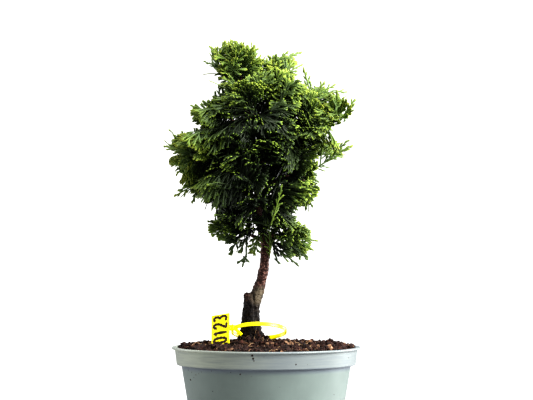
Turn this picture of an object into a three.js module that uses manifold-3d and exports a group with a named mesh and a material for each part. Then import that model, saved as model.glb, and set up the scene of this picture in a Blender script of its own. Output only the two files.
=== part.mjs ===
// A hinoki cypress bonsai in its nursery pot, with a loop tag round the foot of the trunk.
// Millimetres, +Z up. The origin is the middle of the pot's underside, and -Y is the tree's front.
import * as THREE from "three";
import { mergeVertices } from "three/addons/utils/BufferGeometryUtils.js";
import Module from "manifold-3d";

const wasm = await Module();
wasm.setup();

// ---------------------------------------------------------------- driving dimensions
const SEAT = 0.3; // clearance between a piece and what carries it

const pot = {
  height: 128,
  baseRadius: 58,
  wall: 1.6,
  wallTopRadius: 76.3, // outside, just under the band
  bandHeight: 16,
  bandFoot: 80.5,
  bandTop: 82.3,
  flangeRadius: 85,
  flangeThickness: 1.8,
  segments: 40,
};
const drain = { count: 6, radius: 4, ring: 42, sides: 8 };
const soil = {
  edgeDrop: 1.2, // its edge lies this far below the rim
  mound: 3.4,
  heap: 4.5, // against the trunk's foot
  heapWidth: 17,
  relief: 0.9,
  rings: 5,
  segments: 36,
};
// Three waves across the surface stand for its crumbs: their turn per mm in x and in y, and their start.
const crumbWaves = [[0.31, 0.27, 1.3], [0.19, -0.33, 0], [0.4, 0.47, 1.57]];
// Bark chips lie all round the trunk, each turned by the golden angle from the last.
const chips = { count: 12, turn: 2.4, from: 26, to: 72, size: 4.2, shape: [1.8, 1.1, 0.7], tilt: 0.9 };

// The trunk's middle line from the buried foot to the leader's end, with the radius at each point.
const trunkLine = [
  { at: [-13, 0, 106], radius: 8 },
  { at: [-13, 0, 124], radius: 12.5 },
  { at: [-13, 0, 131], radius: 11.6 },
  { at: [-13.6, 0, 141], radius: 9.1 },
  { at: [-14.2, 0, 153], radius: 7.9 },
  { at: [-12.6, 0, 166], radius: 6.9 },
  { at: [-8.2, -0.5, 176], radius: 5.1 },
  { at: [-4.9, -1, 186], radius: 4.6 },
  { at: [-2.3, -1, 197], radius: 4.1 },
  { at: [-1, -0.5, 208], radius: 4 },
  { at: [-0.8, 0, 219], radius: 3.9 },
  { at: [-2.4, 0.5, 230], radius: 3.4 },
  { at: [-5, 0, 244], radius: 3 },
  { at: [-7.6, -0.5, 262], radius: 2.7 },
  { at: [-9.4, 0, 284], radius: 2.4 },
  { at: [-11.4, 0.5, 306], radius: 2.1 },
  { at: [-15, 0, 330], radius: 1.8 },
  { at: [-18.8, 0, 349], radius: 1.5 },
];
// Roots stand out as ridges round the trunk's foot and fade out above it, and a fine wave roughens the bark.
const rootRidges = { count: 5, depth: 0.04, footDepth: 0.1, footTop: 150, fade: 30, twist: 0.05 };
const barkWave = { depth: 0.03, perMm: 0.9 };
// The stump of the old leader, and two knobs where branches were cut off.
const cutStubs = [
  { from: [-15.2, -0.6, 156], to: [-16.4, -1.4, 176], radii: [6.2, 3] },
  { from: [-1.4, -0.6, 212], to: [3.6, -2.8, 213.6], radii: [2.6, 1.9] },
  { from: [-4.6, -0.8, 189], to: [-0.4, -4.6, 190.4], radii: [2.2, 1.4] },
];

// Limbs: where each leaves the trunk, the point it bends through, its end, and the radius at both ends.
// The sprays of a limb are given by where their tips reach: the first sits at its end, the others behind it.
// A fourth number narrows a spray.
const limbs = {
  low_left: {
    height: 222, via: [-12, -3, 228], end: [-21, -5, 231], radii: [2, 1.1],
    tips: [[-47, -12, 240], [-42, -26, 225], [-28, -12, 212]],
  },
  low_right: {
    height: 218, via: [8, -3, 226], end: [17, -4, 229], radii: [2, 1.1],
    tips: [[40, -2, 230], [27, -20, 243], [38, -18, 213], [16, -26, 205]],
  },
  right_leader: {
    height: 220, via: [17, -4, 246], end: [36, -3, 284], radii: [2.6, 1.1],
    tips: [[75, 6, 306, 0.4], [48, -20, 300], [44, -24, 268], [41, -4, 250], [40, 44, 286]],
  },
  lower_left: {
    height: 262, via: [-22, -3, 266], end: [-38, -4, 274], radii: [2, 1],
    tips: [[-77, -7, 268, 0.8], [-60, 8, 257], [-42, -32, 250], [-46, 40, 266]],
  },
  front_low: {
    height: 246, via: [-6, -16, 252], end: [-5, -32, 256], radii: [1.8, 1],
    tips: [[-30, -42, 242], [18, -44, 246], [-2, -48, 272]],
  },
  back_low: {
    height: 246, via: [-6, 12, 250], end: [-5, 24, 254], radii: [1.8, 1],
    tips: [[0, 58, 248]],
  },
  mid_left: {
    height: 290, via: [-30, -3, 295], end: [-51, -4, 304], radii: [2, 1],
    tips: [[-80, -2, 324], [-90, -9, 313, 0.8], [-80, -18, 292], [-46, -46, 316], [-60, 44, 304]],
  },
  front_mid: {
    height: 282, via: [-8, -20, 287], end: [-8, -40, 292], radii: [2, 1],
    tips: [[-38, -54, 302], [14, -58, 312], [-12, -62, 270]],
  },
  front_right: {
    height: 272, via: [6, -10, 276], end: [20, -22, 282], radii: [1.8, 1],
    tips: [[34, -44, 300], [26, -44, 266]],
  },
  back_mid: {
    height: 280, via: [-8, 18, 285], end: [-7, 34, 291], radii: [2, 1],
    tips: [[-34, 66, 300], [22, 66, 296]],
  },
  right_upper: {
    height: 290, via: [14, -3, 306], end: [34, -2, 324], radii: [2, 1],
    tips: [[57, 4, 361, 0.8], [73, -2, 352, 0.7], [52, -18, 324], [36, -26, 358], [46, 38, 338], [30, -50, 322]],
  },
  upper_left: {
    height: 322, via: [-28, -3, 330], end: [-41, -4, 340], radii: [1.8, 1],
    tips: [[-38, -6, 362, 0.7], [-66, -9, 343], [-62, -20, 326], [-40, -46, 338], [-48, 38, 340]],
  },
  front_upper: {
    height: 318, via: [-14, -17, 326], end: [-11, -34, 336], radii: [1.8, 1],
    tips: [[-34, -48, 356], [-6, -46, 366], [18, -50, 344], [-10, -60, 322]],
  },
  back_upper: {
    height: 318, via: [-14, 15, 325], end: [-12, 28, 334], radii: [1.8, 1],
    tips: [[-32, 58, 354]],
  },
  top_right: {
    height: 340, via: [-8, -1, 351], end: [2, -2, 360], radii: [1.4, 0.9],
    tips: [[28, 2, 390, 0.7], [5, -10, 384], [24, -12, 368]],
  },
  top: {
    height: 348, via: [-21, 0, 362], end: [-23, 0, 374], radii: [1.5, 1],
    tips: [[-24, 2, 403], [-46, -6, 396], [-9, -3, 397], [-48, -12, 380], [-16, 34, 386]],
  },
};

// A spray is a flat fan: a rib with branchlets on alternate sides, which bear shorter ones in turn.
const blade = {
  thickness: 0.9,
  ribHalf: 1.5, // half the width of the rib at its foot, then of a branchlet and of a fork
  branchletHalf: 2.2,
  forkHalf: 1.8,
  tipHalf: 1.7,
  stem: 5.5, // bare length at the root
  spacing: 5.6, // from one branchlet of the rib to the next, on the other side
  uneven: 0.16, // that spacing varies by this share
  most: 6.8, // a longer fan spaces this many branchlets out
  bareTip: 4, // no twig leaves its parent nearer to the parent's end
  forkFrom: 0.42, // a branchlet's first fork, as a share of its length
  forkSpacing: 6,
  forkLength: 5,
  forkShare: 0.75, // a fork is no longer than this share of what is left of its branchlet
  shortest: 2.5, // no twig is shorter
  trim: 0.1, // a crowded twig is shortened by this share at a time
  angle: 1.03, // between rib and first branchlet, in radians
  closing: 0.28, // the last branchlet's angle is smaller by this share
  forkAngle: 0.72,
  spread: 0.86, // longest branchlet over the rib's length
  shoulder: 0.62, // the first branchlet's share of that
  fullness: 0.8, // how much more the branchlets further out have
  roundness: 0.6, // power with which they shorten towards the tip
  leastReach: 4.5,
  ragged: 0.25, // their reach varies by this share
  droop: 0.55, // bend of the whole fan along its rib, in radians
  cup: 2.4, // how far the fan's edges stand above its rib
};
const SPRAY_STEP = 4; // from one spray's foot to the next along a limb
const NEAREST_FOOT = 0.25; // no spray's foot is nearer to the trunk than this share of its limb
const FAN_TURN = 0.84; // the fans lean to one side or the other by this much from facing up
const SKYWARD = [0, -0.25, 1]; // a fan's upper side faces up and a little forward
const SEEDS = { first: 101, step: 37 };

// Corners round each piece of wood, and rings along it.
const woodMesh = { trunk: [10, 26], stub: [7, 2], limb: [5, 3] };

const colours = { pot: 0x9fb3a8, soil: 0x3b2418, bark: 0x4a352a, tag: 0xf7f014, leaf: 0x3f6b22 };

// ---------------------------------------------------------------- solids
// A closed geometry as a manifold-3d solid.
function solidOf(geometry) {
  const bare = new THREE.BufferGeometry().setAttribute("position", geometry.getAttribute("position"));
  bare.setIndex(geometry.index);
  const merged = mergeVertices(bare, 1e-4);
  return new wasm.Manifold(
    new wasm.Mesh({
      numProp: 3,
      vertProperties: merged.getAttribute("position").array,
      triVerts: new Uint32Array(merged.index.array),
    }),
  );
}

function geometryOf(solid) {
  const mesh = solid.getMesh();
  const positions = new THREE.BufferAttribute(new Float32Array(mesh.vertProperties), 3);
  return new THREE.BufferGeometry().setAttribute("position", positions)
    .setIndex(new THREE.BufferAttribute(new Uint32Array(mesh.triVerts), 1));
}

function largestBody(solid) {
  return solid.decompose().reduce((best, body) => (body.volume() > best.volume() ? body : best));
}

function meshOf(name, solid, colour, roughness) {
  const material = new THREE.MeshStandardMaterial({ color: colour, roughness, flatShading: true });
  const mesh = new THREE.Mesh(geometryOf(solid), material);
  mesh.name = name;
  return mesh;
}

// A repeatable stream of numbers from 0 to 1.
function draws(seed) {
  let state = seed;
  return () => {
    state = (Math.imul(state, 1664525) + 1013904223) >>> 0;
    return state / 4294967296;
  };
}

const vector = (a) => new THREE.Vector3(...a);

// A closed round tube along a curve. reach lengthens both ends and thickens it all over.
function taperedTube(curve, radiusAt, sides, steps, reach = 0) {
  const frames = curve.computeFrenetFrames(steps, false);
  const positions = [];
  const index = [];
  for (let i = 0; i <= steps; i++) {
    const u = i / steps;
    const push = i === 0 ? -reach : i === steps ? reach : 0;
    const centre = curve.getPointAt(u).addScaledVector(frames.tangents[i], push);
    for (let k = 0; k < sides; k++) {
      const turn = (2 * Math.PI * k) / sides;
      const radius = radiusAt(u, turn) + reach;
      const p = centre.clone().addScaledVector(frames.normals[i], radius * Math.cos(turn))
        .addScaledVector(frames.binormals[i], radius * Math.sin(turn));
      positions.push(p.x, p.y, p.z);
    }
  }
  for (let i = 0; i < steps; i++) {
    for (let k = 0; k < sides; k++) {
      const a = i * sides + k;
      const b = i * sides + ((k + 1) % sides);
      index.push(a, b, b + sides, a, b + sides, a + sides);
    }
  }
  const last = steps * sides;
  for (let k = 1; k < sides - 1; k++) {
    index.push(0, k + 1, k, last, last + k, last + k + 1);
  }
  const geometry = new THREE.BufferGeometry().setIndex(index);
  return geometry.setAttribute("position", new THREE.Float32BufferAttribute(positions, 3));
}

// ---------------------------------------------------------------- pot
function makePot() {
  const inner = pot.wall;
  const bandFootHeight = pot.height - pot.bandHeight;
  const profile = [
    [0, 0],
    [pot.baseRadius, 0],
    [pot.wallTopRadius, bandFootHeight],
    [pot.bandFoot, bandFootHeight],
    [pot.bandTop, pot.height - pot.flangeThickness],
    [pot.flangeRadius, pot.height - pot.flangeThickness],
    [pot.flangeRadius, pot.height],
    [pot.bandTop - inner, pot.height],
    [pot.bandFoot - inner, bandFootHeight + inner],
    [pot.wallTopRadius - inner, bandFootHeight + inner],
    [pot.baseRadius - inner, inner],
    [0, inner],
  ].map(([r, z]) => new THREE.Vector2(r, z));
  let body = solidOf(new THREE.LatheGeometry(profile, pot.segments).rotateX(Math.PI / 2));
  for (let i = 0; i < drain.count; i++) {
    const turn = (2 * Math.PI * i) / drain.count;
    const hole = new THREE.CylinderGeometry(drain.radius, drain.radius, 4 * pot.wall, drain.sides);
    hole.rotateX(Math.PI / 2).translate(drain.ring * Math.cos(turn), drain.ring * Math.sin(turn), 0);
    body = body.subtract(solidOf(hole));
  }
  return body;
}

// ---------------------------------------------------------------- soil
// How high the soil lies above the pot's rim: a low mound round the trunk, with crumbs all over.
function soilHeight(x, y) {
  const r = Math.hypot(x, y) / pot.bandTop;
  const foot = Math.hypot(x - trunkLine[1].at[0], y);
  const crumbs = crumbWaves.reduce((sum, [a, b, start]) => sum + Math.sin(a * x + b * y + start), 0);
  const heap = soil.heap * Math.exp(-((foot / soil.heapWidth) ** 2));
  return -soil.edgeDrop + soil.mound * (1 - r * r) + heap + soil.relief * crumbs * (1.05 - r);
}

function makeSoil(...holes) {
  const inner = pot.wall + SEAT;
  const shelf = pot.height - pot.bandHeight + inner;
  const edge = pot.bandTop - inner - 2 * SEAT;
  const profile = [
    [0, inner],
    [pot.baseRadius - inner, inner],
    [pot.wallTopRadius - inner, shelf],
    [pot.bandFoot - inner, shelf],
    [edge, pot.height - 2 * pot.wall],
  ];
  for (let i = 0; i <= soil.rings; i++) {
    profile.push([edge * (1 - i / soil.rings), pot.height]);
  }
  const lathe = new THREE.LatheGeometry(profile.map(([r, z]) => new THREE.Vector2(r, z)), soil.segments);
  lathe.rotateX(Math.PI / 2);
  const place = lathe.getAttribute("position");
  for (let i = 0; i < place.count; i++) {
    if (place.getZ(i) > pot.height - pot.wall) {
      place.setZ(i, pot.height + soilHeight(place.getX(i), place.getY(i)));
    }
  }
  let body = solidOf(lathe);
  const draw = draws(7);
  for (let i = 0; i < chips.count; i++) {
    const turn = chips.turn * (i + 0.2 * draw());
    const r = THREE.MathUtils.lerp(chips.from, chips.to, Math.sqrt((i + draw()) / chips.count));
    const x = r * Math.cos(turn);
    const y = r * Math.sin(turn);
    const size = chips.size * (0.8 + 0.7 * draw());
    const chip = new THREE.BoxGeometry(...chips.shape.map((side) => side * size));
    chip.rotateX(chips.tilt * draw()).rotateY(chips.tilt * draw()).rotateZ(2 * Math.PI * draw());
    body = body.add(solidOf(chip.translate(x, y, pot.height + soilHeight(x, y) + 0.1 * size)));
  }
  for (const hole of holes) body = body.subtract(hole);
  return largestBody(body);
}

// ---------------------------------------------------------------- trunk and limbs
const trunkCurve = new THREE.CatmullRomCurve3(trunkLine.map((p) => vector(p.at)));

function trunkPointAt(height) {
  const upper = trunkLine.findIndex((p) => p.at[2] > height);
  const [low, high] = [trunkLine[upper - 1].at, trunkLine[upper].at];
  return vector(low).lerp(vector(high), (height - low[2]) / (high[2] - low[2]));
}

// Between two points of the trunk's list the radius runs evenly.
function trunkRadius(u, turn) {
  const height = trunkCurve.getPointAt(u).z;
  const upper = Math.max(1, trunkLine.findIndex((p) => p.at[2] >= height - 1e-6));
  const [low, high] = [trunkLine[upper - 1], trunkLine[upper]];
  const share = (height - low.at[2]) / (high.at[2] - low.at[2]);
  const radius = THREE.MathUtils.lerp(low.radius, high.radius, THREE.MathUtils.clamp(share, 0, 1));
  const { count, depth, footDepth, footTop, fade, twist } = rootRidges;
  const ridges = depth + footDepth * THREE.MathUtils.clamp((footTop - height) / fade, 0, 1);
  const bark = barkWave.depth * Math.sin(barkWave.perMm * height + 2 * turn);
  return radius * (1 + ridges * Math.sin(count * turn + twist * height) + bark);
}

function limbCurve(limb) {
  const start = trunkPointAt(limb.height);
  return new THREE.CatmullRomCurve3([start, vector(limb.via), vector(limb.end)]);
}

// The tree's whole wood. With a reach it is that much larger all round, to cut clearances with.
function makeWood(reach = 0) {
  let wood = solidOf(taperedTube(trunkCurve, trunkRadius, ...woodMesh.trunk, reach));
  for (const stub of cutStubs) {
    const line = new THREE.LineCurve3(vector(stub.from), vector(stub.to));
    const radius = (u) => THREE.MathUtils.lerp(...stub.radii, u);
    wood = wood.add(solidOf(taperedTube(line, radius, ...woodMesh.stub, reach)));
  }
  for (const limb of Object.values(limbs)) {
    const radius = (u) => THREE.MathUtils.lerp(...limb.radii, u);
    wood = wood.add(solidOf(taperedTube(limbCurve(limb), radius, ...woodMesh.limb, reach)));
  }
  return wood;
}

// ---------------------------------------------------------------- sprays
// A twig lies in its fan's plane. The walk goes up its right side, round its tip and down its left, round
// each of its children on the way. With a grow, the outline runs that far outside the twig.
function walkTwig(twig, origin, heading, grow) {
  const along = new THREE.Vector2(Math.cos(heading), Math.sin(heading));
  const across = new THREE.Vector2(-along.y, along.x);
  const halfAt = (s) => THREE.MathUtils.lerp(twig.half, blade.tipHalf, s / twig.length) + grow;
  const edge = (s, side) =>
    origin.clone().addScaledVector(along, s).addScaledVector(across, side * halfAt(s));
  const walkChild = ({ at, side, angle, ...child }) => {
    const foot = (side * (child.half + grow)) / Math.sin(angle);
    return [
      edge(at + foot, side),
      ...walkTwig(child, edge(at, side), heading + side * angle, grow),
      edge(at - foot, side),
    ];
  };
  const right = twig.children.filter((child) => child.side < 0).sort((a, b) => a.at - b.at);
  const left = twig.children.filter((child) => child.side > 0).sort((a, b) => b.at - a.at);
  const end = twig.length + grow;
  return [...right.flatMap(walkChild), edge(end, -1), edge(end, 1), ...left.flatMap(walkChild)];
}

function fanOutline(rib, grow) {
  const foot = (side) => new THREE.Vector2(-grow, side * (rib.half + grow));
  return [foot(-1), ...walkTwig(rib, new THREE.Vector2(), 0, grow), foot(1)];
}

// Whether no two edges of an outline cross.
function isSimple(outline) {
  const turn = (a, b, c) => (b.x - a.x) * (c.y - a.y) - (b.y - a.y) * (c.x - a.x);
  const edges = outline.map((a, i) => [a, outline[(i + 1) % outline.length]]);
  return !edges.some(([a, b], i) => edges.slice(i + 2).some(([c, d]) =>
    turn(a, b, c) * turn(a, b, d) < 0 && turn(c, d, a) * turn(c, d, b) < 0));
}

// The branching plan of one fan: branchlets on alternate sides of the rib, each with forks of its own.
// A twig that would touch another is shortened, then left out.
function planFan(length, width, draw) {
  const rib = { half: blade.ribHalf, length, children: [] };
  const grows = (parent, child) => {
    parent.children.push(child);
    for (const full = child.length; child.length > blade.shortest; child.length -= blade.trim * full) {
      if (isSimple(fanOutline(rib, SEAT))) return;
    }
    parent.children.pop();
  };
  const spacing = Math.max(blade.spacing, (length - blade.stem) / blade.most);
  let side = draw() < 0.5 ? -1 : 1;
  const uneven = (share) => 1 + share * (draw() - 0.5);
  for (let at = blade.stem; at < length - blade.bareTip; at += spacing * uneven(blade.uneven)) {
    const u = at / length;
    const profile = (1 - u) ** blade.roundness * (blade.shoulder + blade.fullness * u);
    const full = width * blade.spread * length * profile;
    const reach = Math.max(blade.leastReach, full * uneven(blade.ragged));
    const angle = blade.angle * (1 - blade.closing * u);
    const branchlet = { at, side, angle, half: blade.branchletHalf, length: reach, children: [] };
    grows(rib, branchlet);
    let forkSide = -side;
    const lastFork = branchlet.length - blade.bareTip;
    for (let s = blade.forkFrom * reach; s < lastFork; s += blade.forkSpacing) {
      const forkLength = Math.min(blade.forkLength, blade.forkShare * (reach - s));
      grows(branchlet, {
        at: s, side: forkSide, angle: blade.forkAngle, half: blade.forkHalf, length: forkLength, children: [],
      });
      forkSide = -forkSide;
    }
    side = -side;
  }
  return rib;
}

// How long a rib is that bends by blade.droop between two points this far apart.
const ribLength = (chord) => (chord * (blade.droop / 2)) / Math.sin(blade.droop / 2);

// The fan's frame: its rib leaves the root along start, and bends by blade.droop to reach the tip.
function fanFrame(root, tip, turn, pitch) {
  const chord = tip.clone().sub(root);
  const up = vector(SKYWARD).projectOnPlane(chord).normalize();
  const beside = up.clone().cross(chord).normalize();
  chord.applyAxisAngle(beside, pitch);
  up.applyAxisAngle(beside, pitch);
  const forward = chord.clone().normalize();
  const normal = up.applyAxisAngle(forward, turn);
  const across = normal.clone().cross(forward);
  return {
    root, across,
    start: forward.applyAxisAngle(across, -blade.droop / 2),
    normal: normal.applyAxisAngle(across, -blade.droop / 2),
  };
}

// A fan as a thin arched blade, cut to its branchlets. grow fattens it all round, to test clearances with.
function makeFan(frame, rib, grow = 0) {
  const outline = fanOutline(rib, grow);
  const widest = Math.max(...outline.map((p) => Math.abs(p.y)));
  const radius = rib.length / blade.droop;
  const count = outline.length;
  const positions = [];
  for (const face of [1, -1]) {
    for (const { x: s, y: t } of outline) {
      const angle = s / radius;
      const height = radius + blade.cup * (t / widest) ** 2 + face * (blade.thickness / 2 + grow);
      const p = frame.root.clone().addScaledVector(frame.across, t)
        .addScaledVector(frame.start, height * Math.sin(angle))
        .addScaledVector(frame.normal, height * Math.cos(angle) - radius);
      positions.push(p.x, p.y, p.z);
    }
  }
  const index = [];
  for (const [a, b, c] of THREE.ShapeUtils.triangulateShape(outline, [])) {
    index.push(a, b, c, count + a, count + c, count + b);
  }
  for (let i = 0; i < count; i++) {
    const j = (i + 1) % count;
    index.push(i, count + j, j, i, count + i, count + j);
  }
  const geometry = new THREE.BufferGeometry().setIndex(index);
  return geometry.setAttribute("position", new THREE.Float32BufferAttribute(positions, 3));
}

// Turns a fan about its root, little by little, until it clears the wood and every fan set before it.
const TURNS = [0, 0.2, -0.2, 0.4, -0.4, 0.65, -0.65, 0.9, -0.9, 1.2, -1.2, 1.57];
const PITCHES = [0, 0.1, -0.1, 0.2, -0.2, 0.3, -0.3];
const SHORTER = [1, 0.92, 0.84, 0.76, 0.68];
const MOST_CUT = 22; // mm3 of a fan that may be cut away round the wood

function settleFan(root, tip, lean, width, seed, woodRoom, placed) {
  for (const share of SHORTER) {
    const end = root.clone().lerp(tip, share);
    const rib = planFan(ribLength(end.distanceTo(root)), width, draws(seed));
    for (const pitch of PITCHES) {
      for (const turn of TURNS) {
        const frame = fanFrame(root, end, lean + turn, pitch);
        const room = solidOf(makeFan(frame, rib, SEAT));
        if (placed.some((other) => !room.intersect(other).isEmpty())) continue;
        const whole = solidOf(makeFan(frame, rib));
        const cut = largestBody(whole.subtract(woodRoom));
        if (whole.volume() - cut.volume() < MOST_CUT) return cut;
      }
    }
  }
  return undefined;
}

function makeSprays(woodRoom) {
  const sprays = new Map();
  for (const [name, limb] of Object.entries(limbs)) {
    const curve = limbCurve(limb);
    limb.tips.forEach(([x, y, z, width = 1], k) => {
      const foot = Math.max(NEAREST_FOOT, 1 - (k * SPRAY_STEP) / curve.getLength());
      const root = curve.getPointAt(foot);
      const tip = new THREE.Vector3(x, y, z);
      const lean = (k % 2 ? -1 : 1) * FAN_TURN;
      const seed = SEEDS.first + SEEDS.step * sprays.size;
      const fan = settleFan(root, tip, lean, width, seed, woodRoom, [...sprays.values()]);
      if (!fan) throw new Error(`no room for spray ${k + 1} of ${name}`);
      sprays.set(`${name}_spray_${k + 1}`, fan);
    });
  }
  return sprays;
}

// ---------------------------------------------------------------- tag
const tag = {
  // The plate leans back, and its right side stands a little forward and up.
  plate: {
    width: 19, height: 28, thickness: 1.2, corner: 1.5, middle: [-41, -5, 143.6],
    right: [0.85, -0.5, 0.16], up: [0, 0.3, 0.95],
  },
  head: { size: [6, 5, 5], middle: [-31, -7.5, 145], turn: -0.4 },
  // The strap leaves the head, rounds the trunk in a tilted oval and comes back to the head.
  strap: {
    width: 3.8, thickness: 1.2, middle: [-6.5, 0, 140.6], across: 24.5, depth: 17, rise: 6.4, open: 0.12,
    points: 16, steps: 32,
  },
};

function makePlate(grow = 0) {
  const { width, height, thickness, corner, middle } = tag.plate;
  const [w, h] = [width / 2 + grow, height / 2 + grow];
  const outline = new THREE.Shape();
  outline.moveTo(-w + corner, -h).lineTo(w - corner, -h).lineTo(w, -h + corner).lineTo(w, h - corner)
    .lineTo(w - corner, h).lineTo(-w + corner, h).lineTo(-w, h - corner).lineTo(-w, -h + corner);
  const depth = thickness + 2 * grow;
  const plate = new THREE.ExtrudeGeometry(outline, { depth, bevelEnabled: false });
  plate.translate(0, 0, -depth / 2);
  const right = vector(tag.plate.right).normalize();
  const up = vector(tag.plate.up).projectOnPlane(right).normalize();
  const basis = new THREE.Matrix4().makeBasis(right, up, right.clone().cross(up)).setPosition(...middle);
  return plate.applyMatrix4(basis);
}

function makeStrap(grow = 0) {
  const { width, thickness, middle, across, depth, rise, open, points, steps } = tag.strap;
  const route = [];
  for (let i = 0; i <= points; i++) {
    const turn = Math.PI + open + ((2 * Math.PI - 2 * open) * i) / points;
    const offset = [across * Math.cos(turn), depth * Math.sin(turn), -rise * Math.sin(turn)];
    route.push(vector(middle).add(vector(offset)));
  }
  const path = new THREE.CatmullRomCurve3(route);
  const normal = new THREE.Vector3(0, rise, depth).normalize();
  const [w, t] = [width / 2 + grow, thickness / 2 + grow];
  const positions = [];
  const index = [];
  for (let i = 0; i <= steps; i++) {
    const out = path.getTangentAt(i / steps).cross(normal).normalize();
    for (const [a, b] of [[-t, -w], [t, -w], [t, w], [-t, w]]) {
      const p = path.getPointAt(i / steps).addScaledVector(out, a).addScaledVector(normal, b);
      positions.push(p.x, p.y, p.z);
    }
  }
  for (let i = 0; i < steps; i++) {
    for (let k = 0; k < 4; k++) {
      const a = 4 * i + k;
      const b = 4 * i + ((k + 1) % 4);
      index.push(a, b + 4, b, a, a + 4, b + 4);
    }
  }
  const last = 4 * steps;
  index.push(0, 1, 2, 0, 2, 3, last, last + 2, last + 1, last, last + 3, last + 2);
  return new THREE.BufferGeometry().setIndex(index)
    .setAttribute("position", new THREE.Float32BufferAttribute(positions, 3));
}

function makeTag(grow = 0) {
  const head = new THREE.BoxGeometry(...tag.head.size.map((side) => side + 2 * grow));
  head.rotateZ(tag.head.turn).translate(...tag.head.middle);
  return solidOf(makePlate(grow)).add(solidOf(makeStrap(grow))).add(solidOf(head));
}

// ---------------------------------------------------------------- the whole part
const wood = makeWood();
const woodRoom = makeWood(SEAT);
const tree = new THREE.Group();
tree.add(meshOf("pot", makePot(), colours.pot, 0.45));
tree.add(meshOf("soil", makeSoil(woodRoom, makeTag(SEAT)), colours.soil, 1));
tree.add(meshOf("trunk", wood, colours.bark, 0.9));
tree.add(meshOf("tag", makeTag(), colours.tag, 0.4));
for (const [name, spray] of makeSprays(woodRoom)) {
  tree.add(meshOf(name, spray, colours.leaf, 0.6));
}

export default tree;
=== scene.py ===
"""The looks of a hinoki cypress bonsai in its nursery pot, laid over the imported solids.

Shapes are worked out in millimetres, in the tree's own frame, and scaled to metres when a mesh is made.
"""
import functools
import math
import random

import bmesh
import bpy
from mathutils import Matrix, Vector, noise
from mathutils.bvhtree import BVHTree


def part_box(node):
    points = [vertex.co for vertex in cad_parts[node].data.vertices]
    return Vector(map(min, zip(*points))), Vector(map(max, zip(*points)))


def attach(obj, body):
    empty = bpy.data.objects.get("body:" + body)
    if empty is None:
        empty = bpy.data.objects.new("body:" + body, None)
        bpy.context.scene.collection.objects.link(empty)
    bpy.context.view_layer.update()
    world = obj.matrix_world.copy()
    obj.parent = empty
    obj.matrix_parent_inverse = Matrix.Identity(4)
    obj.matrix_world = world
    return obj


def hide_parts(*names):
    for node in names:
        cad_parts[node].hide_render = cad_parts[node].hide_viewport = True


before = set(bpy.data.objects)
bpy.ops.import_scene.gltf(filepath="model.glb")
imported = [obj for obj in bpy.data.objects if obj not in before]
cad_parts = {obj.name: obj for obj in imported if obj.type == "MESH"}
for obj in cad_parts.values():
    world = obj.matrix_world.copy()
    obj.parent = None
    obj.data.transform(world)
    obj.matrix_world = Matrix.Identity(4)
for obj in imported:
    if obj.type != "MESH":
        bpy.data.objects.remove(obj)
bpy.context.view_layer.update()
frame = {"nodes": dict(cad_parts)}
MM = 0.001
noise.seed_set(4)  # so that the lumps of every crumb are the same on each run

# ---------------------------------------------------------------- sizes, in millimetres
pot_top_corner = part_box("pot")[1] / MM
RIM = pot_top_corner.z  # the pot's height
RIM_RADIUS = pot_top_corner.x
POT_WALL = 1.6
BAND = dict(height=16, foot=80.5, top=82.3, flange=1.8)
BAND_FOOT = RIM - BAND["height"]  # the height at which the step under the band lies
BASE_RADIUS, WALL_TOP_RADIUS = 58, 76.3
STAND = dict(radius=53, recess=0.6)  # inside this radius the base is hollowed
DRAIN_HOLES = dict(count=6, radius=4, ring=42, reach=4)  # the drill reaches this far up and down

# The potting mix: how it mounds inside the pot and against the trunk's foot.
SOIL = dict(edge=80, edge_drop=1.2, mound=3.4, heap=4.5, heap_width=17, foot_x=-13, relief=0.9)
CRUMB_WAVES = ((0.31, 0.27, 1.3), (0.19, -0.33, 0), (0.4, 0.47, 1.57))  # turn per mm in x and y, and start
MOUND = dict(inner=6, outer=15, height=10)  # wet mix heaped on the trunk's foot
FIBRES = dict(count=160, on_foot=30, reach=76, last=78, joints=5, radius=0.22)  # none goes on past last

FISSURE = dict(top=(-11.8, 177), foot=151, lean=0.09, width=1.1, depth=1.5)  # in the trunk's low front

# The tag: a plate on a loop strap. Turns and slopes are in radians, about the upright and the level axis.
PLATE = dict(size=(19, 28, 1.2), middle=(-41, -5, 143.6), right=(0.85, -0.5, 0.16), up=(0, 0.3, 0.95))
NECK = dict(size=(5.5, 3.4, 2.6), middle=(-33.6, -8.0, 145), turn=-0.5, soft=0.7)
HEAD = dict(size=(6, 5, 5), middle=(-31, -7.5, 145.4), turn=-0.4, soft=0.9)
TAIL = dict(size=(13, 1.4, 3), middle=(-26.5, -10.5, 143.5), turn=-0.35, slope=0.72, soft=0.5)
STRAP = dict(width=3.8, thickness=1.2, middle=(-6.5, 0, 142.2), across=24.5, depth=17, rise=7.2, open=0.12)

# The crown from the front, as lobes: the middle's x and z, then half its width and half its height.
LOBES = [
    (-26, 385, 22, 18), (-28, 366, 12, 9), (4, 370, 22, 15), (13, 385, 14, 6), (26, 360, 10, 8),
    (-42, 334, 23, 13), (46, 345, 28, 17), (44, 325, 13, 8), (57, 308, 17, 6), (-61, 301, 25, 20),
    (-58, 276, 20, 9), (-8, 315, 56, 50), (35, 284, 10, 10), (-6, 264, 38, 23), (-33, 256, 14, 10),
    (-48, 268, 14, 9), (28, 270, 19, 13), (-28, 240, 21, 16), (23, 227, 16, 17), (0, 241, 14, 13),
]
CROWN_MIDDLE = Vector((-3, 0, 305))

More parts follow.
